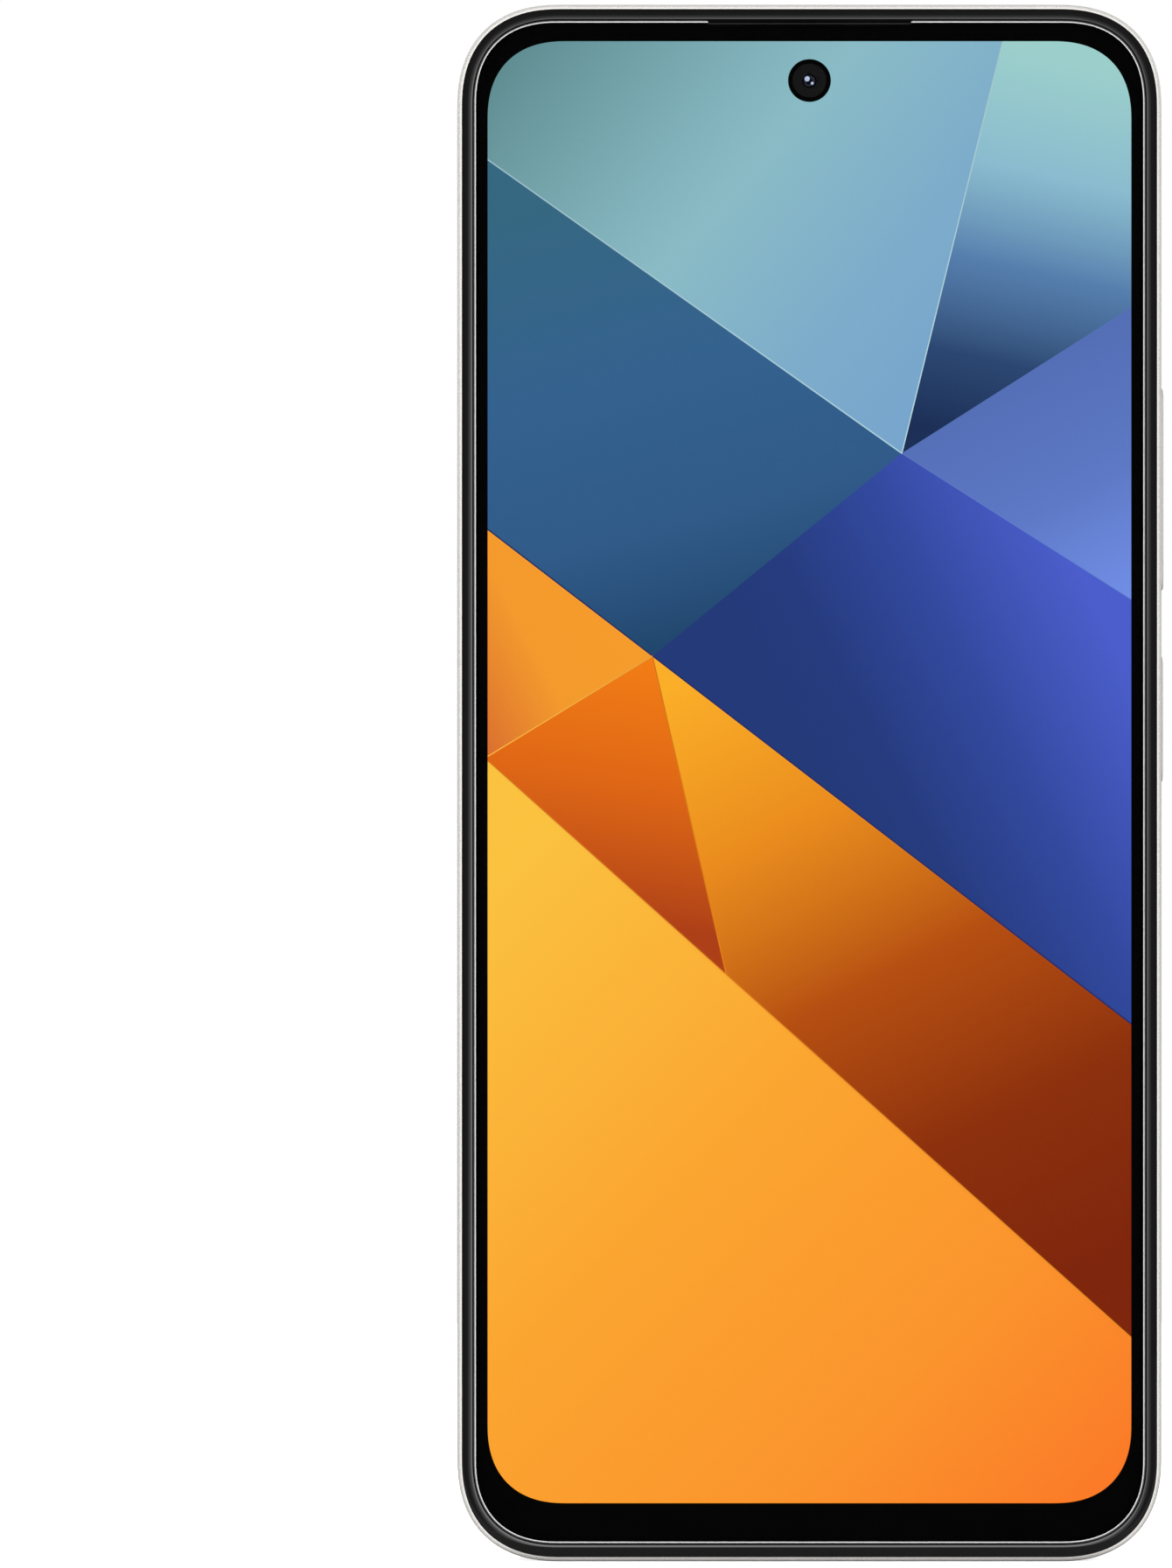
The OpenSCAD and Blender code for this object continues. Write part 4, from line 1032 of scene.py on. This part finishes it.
def ring_section(out_r, flat_r, round_r, proud, seat_r, glass_r, sunk, thick, sleeve_r):
    """A trim ring's section: rounded shoulder, narrow bright top, then a long bevel to the glass."""
    top = BACK_Y + proud
    glass_top = top - sunk
    slope, high = 14, top - round_r - SHOULDER_DROP
    shoulder = arc((out_r - round_r, high), round_r, 0, 90 - slope, 8)
    return [(out_r, BACK_Y)] + shoulder + [
        (flat_r, top), (flat_r - 0.05, top - 0.05), (glass_r + 0.1, glass_top + 0.02),
        (glass_r + 0.06, glass_top + 0.04), (glass_r + 0.02, glass_top),
        (glass_r + 0.02, glass_top - thick), (seat_r, glass_top - thick),
        (seat_r, SLEEVE_Y), (sleeve_r, SLEEVE_Y), (sleeve_r, BACK_Y)]


def blacken_bevel(ring, x, z, radius):
    """Gives the inner bevel of a trim ring, inside radius, its black finish."""
    ring.data.materials.append(RING_BLACK)
    for face in ring.data.polygons:
        if math.hypot(face.center.x / MM - x, face.center.z / MM - z) < radius:
            face.material_index = 1
    return ring


def make_camera_ring(name, z, stands_for):
    section = ring_section(10.75, 9.75, 0.5, 1.2, 8.2, 8.95, 0.2, 0.5, 9.3)
    ring = lathe(name, REAR_X, z, section, RING_SILVER, closed=True, sharp=25)
    add_piece(blacken_bevel(ring, REAR_X, z, 9.74), stands_for=stands_for)


def window_section(radius, front, thick):
    """A glass disc with a fine bevel at its edge, from its axis out and back."""
    back = front - thick
    return [(AXIS, front), (radius - 0.1, front), (radius, front - 0.08), (radius, back),
            (AXIS, back)]


def make_window(name, z, stands_for):
    top = BACK_Y + 1.0
    pane = window_section(8.95, top, 0.5)
    add_turned(name, REAR_X, z, pane, LENS_WINDOW, "lens_window", stands_for)
    low = top - 0.52
    bevel = [(8.93, low), (8.93, low - 0.1), (8.6, low - 0.1), (8.6, low - 0.02)]
    add_turned(name + "_print", REAR_X, z, bevel, MASK_BLACK, "lens_window", closed=True)
    disc = [(8.6, low - 0.03), (4.0, low - 0.03), (3.9, low - 0.06), (3.9, low - 0.2),
            (8.6, low - 0.2)]
    # The disc's colour holds four painted highlights
    spun_with_painted_highlights = spun_disc_painted_highlights("spun_" + name, REAR_X, z)
    add_turned(name + "_disc", REAR_X, z, disc, spun_with_painted_highlights, "camera_black", closed=True)


def stepped_cone(out_r, in_r, front, steps, drop):
    """A cone of fine steps from the outer radius in, as a lens barrel's baffle."""
    points = []
    for i in range(steps):
        radius = out_r + (in_r - out_r) * i / steps
        step_in = (out_r - in_r) / steps
        y = front - drop * i / steps
        points += [(radius, y), (radius - step_in * 0.7, y - 0.01)]
    return points


def dome_section(radius, edge_y, rise, back_y, steps=10):
    """A lens element: a domed front on a straight edge."""
    return [(AXIS, back_y), (radius, back_y)] + dome_arc(radius, edge_y, rise, steps)


def make_painted_glint(name, x, z, top, radius, body="phone"):
    """A painted glint in a rear lens: a small pale dome whose colour stands in for a reflection."""
    dome = dome_section(radius, top, 0.12, 3.7, 6)
    add_turned(name, x, z, dome, PAINTED_GLINT, "lens_glass", body=body, steps=40)


def make_main_camera():
    front, body = 4.2, "focus_barrel"
    x, z = REAR_X, MAIN_Z
    lip = [(3.5, 1.1), (3.5, front - 0.05), (3.45, front), (3.12, front)]
    bore = [(1.7, 3.6), (1.7, 3.5), (0.9, 3.5), (0.9, 1.1)]
    barrel = lip + stepped_cone(3.1, 1.75, front - 0.06, 6, 0.5) + bore
    add_turned("main_barrel_shell", x, z, barrel, BARREL_GREY, "camera_black", ["main_barrel"], body,
               closed=True)
    lens = dome_section(1.52, 3.75, 0.3, 3.6)
    add_turned("main_lens_dome", x, z, lens, LENS_BLUE, "lens_glass", ["main_lens"], body, steps=64)
    # Painted glints: pale domes that stand in for reflections in the lens
    make_painted_glint("main_glint_upper", x + 0.45, z + 0.4, 3.98, 0.62, body)
    make_painted_glint("main_glint_lower", x - 0.5, z - 0.6, 3.94, 0.34, body)
    shroud = [(3.9, 4.55), (3.62, 4.5), (3.58, 4.3), (3.58, 3.9), (4.2, 3.9), (4.2, 4.4),
              (3.9, 4.4)]
    add_turned("main_shroud", x, z, shroud, CAMERA_BLACK, "camera_black", closed=True)


def make_second_camera():
    front = 4.48
    x, z = REAR_X, SECOND_Z
    shroud = [(3.9, 4.55), (2.62, 4.45), (2.62, 3.9), (3.9, 3.9)]
    add_turned("second_shroud", x, z, shroud, CAMERA_BLACK, "camera_black", closed=True)
    steps = stepped_cone(2.55, 1.35, front, 5, 0.06)
    cone = [(2.6, 3.9), (2.6, front)] + steps + [(1.3, 4.0), (1.3, 3.9)]
    add_turned("second_cone", x, z, cone, CAMERA_BLACK, "camera_black", closed=True)
    lens = dome_section(1.16, 4.05, 0.18, 3.9)
    add_turned("second_lens_dome", x, z, lens, LENS_BLUE, "lens_glass", ["second_lens"], steps=64)
    # A painted glint: a pale dome that stands in for a reflection in the lens
    make_painted_glint("second_glint", x + 0.3, z + 0.25, 4.18, 0.34)


def make_flash():
    x, z = FLASH_X, FLASH_Z
    ring = ring_section(7.35, 6.72, 0.3, 0.8, 5.9, 6.62, 0.1, 0.35, 6.3)
    trim = lathe("flash_trim", x, z, ring, RING_SILVER, closed=True, sharp=25)
    add_piece(blacken_bevel(trim, x, z, 6.72), stands_for=["flash_ring"])
    top = BACK_Y + 0.7
    low = top - 0.35
    band = [(6.62, top - 0.04), (6.56, top), (5.5, top), (5.46, top - 0.04), (5.46, low),
            (6.62, low)]
    add_turned("flash_black_glass", x, z, band, BEZEL_BLACK, "lens_window", ["flash_glass"],
               closed=True)
    cap = [(AXIS, top), (3.7, top), (3.77, top - 0.06), (3.77, low), (AXIS, low)]
    # The cap's colour holds four painted highlights
    add_turned("flash_cap", x, z, cap, spun_disc_painted_highlights("spun_cap", x, z), "lens_window")
    make_flash_diffuser(x, z, top)


def make_flash_diffuser(x, z, top):
    """The clear ring round the cap: fine circular grooves, broken by radial ribs."""
    grooves, turns, rib_depth = 9, 240, 0.03
    inner, outer = 3.79, 5.44
    rings = []
    profile = []
    for i in range(grooves):
        r0 = inner + (outer - inner) * i / grooves
        r1 = inner + (outer - inner) * (i + 0.8) / grooves
        profile += [(r0, top - 0.08), (r1, top - 0.16)]
    profile += [(outer, top - 0.08), (outer, top - 0.6), (inner, top - 0.6)]
    for radius, y in profile:
        ring = []
        for k in range(turns):
            a = 2 * math.pi * k / turns
            rib = rib_depth if k % 4 < 2 and y > top - 0.5 else 0.0
            ring.append((x + radius * math.cos(a), y - rib, z + radius * math.sin(a)))
        rings.append(ring)
    clear = grooved_ring("flash_diffuser", x, z)
    ring = loft("flash_light_ring", rings, clear, closed=True, sharp=15)
    add_piece(ring, stands_for=["flash_diffuser"])
    middle = (inner + outer) / 2
    half_w, half_h = 0.62, 0.6
    leds = [((x - half_w, top - 0.3, z + at - half_h), (x + half_w, top - 0.02, z + at + half_h))
            for at in (-middle, middle)]
    add_piece(soft_boxes("flash_led_lenses", leds, LED_YELLOW, 0.12))


# ---- keys


def pill_rings(length, width, at, rows, steps=20):
    """A slot's outline at each (depth, inset) row, on planes that face the phone's side."""
    return [facing(pill_points(length - 2 * inset, width - 2 * inset, steps), "x", at, depth)
            for depth, inset in rows]


def make_key(name, node, body, proud):
    """A key's cap with a softly rounded face, on its flange."""
    flange_x, middle = key_place(node)
    flange, soft = 0.9, 0.22
    face = BODY_W / 2 + proud
    at = (0, KEY_Y, middle)
    rows = [(flange_x + flange, 0.0), (face - soft, 0.0)] + soft_edge(face, soft, 1, 6)
    key = loft(name, pill_rings(KEY_LENGTHS[node], KEY_WIDTH, at, rows), KEY_SILVER)
    add_piece(key, body, [node])
    return key, face, at


def make_keys():
    make_key("volume_key_cap", "volume_key", "volume_rocker", 0.35)
    key, face, at = make_key("power_key_cap", "power_key", "power_button", 0.3)
    length, width, gap = 11.6, 1.8, 0.04
    pocket = pill_rings(length, width, at, [(face - 0.05, 0.0), (face + 0.5, 0.0)])
    carve(key, [loft("cutter", pocket, KEY_SILVER)])
    rows = [(face - 0.2, 0.0), (face - 0.08, 0.0), (face - 0.04, 0.04)]
    plate = loft("sensor_plate", pill_rings(length - gap, width - gap, at, rows), SENSOR_FACE)
    add_piece(plate, "power_button", ["fingerprint_sensor"])


# ---- sockets, holes and tray


def make_usb():
    """The charging socket: a steel shell with a rolled mouth, and a tongue with gold contacts."""
    at = (0, USB_Y, 0)
    wall, mouth, end = 0.3, 0.35, 7.75
    rows = [(0, end), (0, mouth + 0.12), (0.1, mouth + 0.03), (0.25, mouth), (0.45, mouth + 0.03),
            (2 * wall, mouth + 0.15), (2 * wall, end)]
    rings = [facing(pill_points(USB_W - less, USB_T - less, 20), "z", at, z) for less, z in rows]
    shell = loft("charging_shell", rings, STEEL, closed=True)
    add_piece(shell, stands_for=["usb_shell"])
    boxes = [((-3.3, USB_Y - 0.35, 2.2), (3.3, USB_Y + 0.35, 7.2)),
             ((-3.9, USB_Y - 1.2, 7.0), (3.9, USB_Y + 1.2, 7.7))]
    tongue = soft_boxes("charging_tongue", boxes, MOULDED_BLACK, 0.12)
    add_piece(tongue, stands_for=["usb_tongue"])
    pins = []
    count, pitch, half_w = 12, 0.5, 0.12
    for i in range(count):
        x = (i - (count - 1) / 2) * pitch
        for s in (-1, 1):
            edges = sorted((USB_Y + s * 0.33, USB_Y + s * 0.38))
            low = 2.5 + 0.35 * (i % 3 == 1)
            pins.append(((x - half_w, edges[0], low), (x + half_w, edges[1], 6.9)))
    add_piece(soft_boxes("charging_contacts", pins, GOLD, 0.015))


def vertical_lathe(name, x, y, profile, material, closed=True):
    """Revolves (radius, z) points round an upright axis."""
    steps = 64
    turns = [2 * math.pi * i / steps for i in range(steps)]
    rings = []
    for radius, z in profile:
        rings.append([(x + radius * math.cos(a), y + radius * math.sin(a), z) for a in turns])
    return loft(name, rings, material, closed, caps=not closed)


def make_jack():
    """A lining in the headphone socket's mouth, and three contact springs down its bore."""
    x, y, _ = JACK
    top = BODY_H
    lining = [(1.93, top - 0.25), (1.9, top - 0.18), (1.84, top - 0.18), (1.8, top - 0.3),
              (1.8, top - 2.5), (1.93, top - 2.5)]
    add_piece(vertical_lathe("socket_lining", x, y, lining, MOULDED_BLACK))
    springs = []
    for side, z in ((-1, 164), (1, 161), (-1, 158)):
        edges = sorted((x + side * 1.62, x + side * 1.78))
        springs.append(((edges[0], y - 0.5, z - 1.2), (edges[1], y + 0.5, z + 1.2)))
    add_piece(soft_boxes("socket_contacts", springs, GOLD, 0.05))


def make_ir_window():
    x, y, radius = IR
    top = BODY_H - 0.1
    r = radius - 0.02
    low = top - 1.9
    section = [(AXIS, top), (r * 0.7, top - 0.01), (r - 0.05, top - 0.04), (r, top - 0.12), (r, low),
               (AXIS, low)]
    window = vertical_lathe("infrared_window", x, y, section, BEZEL_BLACK, closed=False)
    add_piece(window, stands_for=["ir_window"])


def make_speaker_mesh():
    """Woven wire behind the grille's openings."""
    low, high = node_box("speaker_mesh")
    wires = []
    pitch, wire_r = 0.2, 0.05
    levels = [low[2] + level for level in (0.02, 0.07, 0.12)]
    for i in range(int((high[0] - low[0]) / pitch)):
        x = low[0] + pitch * (i + 0.5)
        wires.append(((x - wire_r, low[1], levels[0]), (x + wire_r, high[1], levels[1])))
    for j in range(int((high[1] - low[1]) / pitch)):
        y = low[1] + pitch * (j + 0.5)
        wires.append(((low[0], y - wire_r, levels[1]), (high[0], y + wire_r, levels[2])))
    weave = soft_boxes("grille_weave", wires, DARK_MESH, 0.02)
    add_piece(weave, stands_for=["speaker_mesh"])
    board = [((low[0], low[1], levels[2]), high)]
    add_piece(soft_boxes("grille_felt", board, MOULDED_BLACK, 0.02))


def make_tray():
    """The card tray: a rounded face in the frame's side, and a plate with two card seats."""
    side = -BODY_W / 2
    at = (0, TRAY_Y, TRAY_Z)
    soft, root = 0.12, side + 2.0
    rows = [(root, 0.0), (side + soft, 0.0)] + soft_edge(side, soft, -1, 4)
    face = loft("tray_face", pill_rings(TRAY_LENGTH, TRAY_WIDTH, at, rows, 24), SILVER)
    add_piece(face, "card_tray", ["tray"])
    low_y, high_y = 0.6, 1.4
    half_w, round_r = 7.3, 1.2
    round_x, round_z = TRAY_HIGH[0] - round_r, half_w - round_r
    corners = [(root, -half_w)] + arc((round_x, -round_z), round_r, -90, 0, 6)
    corners += arc((round_x, round_z), round_r, 0, 90, 6) + [(root, half_w)]
    levels = [[(x, y, TRAY_Z + v) for x, v in corners] for y in (low_y, high_y)]
    plate = loft("tray_plate", levels, MOULDED_BLACK)
    seat_w, seat_h, seat_r, past_y = 12.3, 8.8, 0.6, 2.0
    cutters = []
    for x in (-29.0, -15.8):
        for inset, deep in ((0.0, 0.85), (1.0, 0.0)):
            rings = [outline(seat_w - 2 * inset, seat_h - 2 * inset, seat_r, y, TRAY_Z, 5, x)
                     for y in (deep, past_y)]
            cutters.append(loft("cutter", rings, MOULDED_BLACK))
    carve(plate, cutters)
    add_piece(plate, "card_tray")


# ---- inner parts


def slot_material(slot):
    """A material for the inner CAD nodes of a record slot."""
    name = slot["slot"]
    colour = tuple(slot["base_color"][:3]) + (1,)
    kind = slot["class"]
    if kind in ("aluminium", "brushed_steel", "brass"):
        return brushed("inner_" + name, colour, 0.35)
    if kind == "glass":
        return coated_lens("inner_" + name, colour)
    rough = 0.25 if kind in ("gloss_plastic", "glazed_ceramic") else 0.55
    return grained("inner_" + name, colour, rough, vary=0.15, scale=4)


def dress_inner_nodes():
    """Gives every CAD node a procedural material by its slot."""
    made = {s["slot"]: slot_material(s) for s in frame["record"]["materials"]}
    for part in frame["record"]["subparts"]:
        mesh = frame["nodes"][part["node"]].data
        mesh.materials.clear()
        mesh.materials.append(made[part["material_slot"]])


bpy.context.scene.view_settings.view_transform = "Standard"
make_camera()
make_world()
make_lights()
make_floor()
dress_inner_nodes()
make_side_frame()
make_bezel()
make_glass()
make_mask()
make_panel()
make_picture()
make_selfie_camera()
make_earpiece()
make_back_cover()
make_camera_ring("upper_trim_ring", MAIN_Z, ["upper_ring"])
make_camera_ring("lower_trim_ring", SECOND_Z, ["lower_ring"])
make_window("upper_window", MAIN_Z, ["upper_glass"])
make_window("lower_window", SECOND_Z, ["lower_glass"])
make_main_camera()
make_second_camera()
make_flash()
make_keys()
make_usb()
make_jack()
make_ir_window()
make_speaker_mesh()
make_tray()
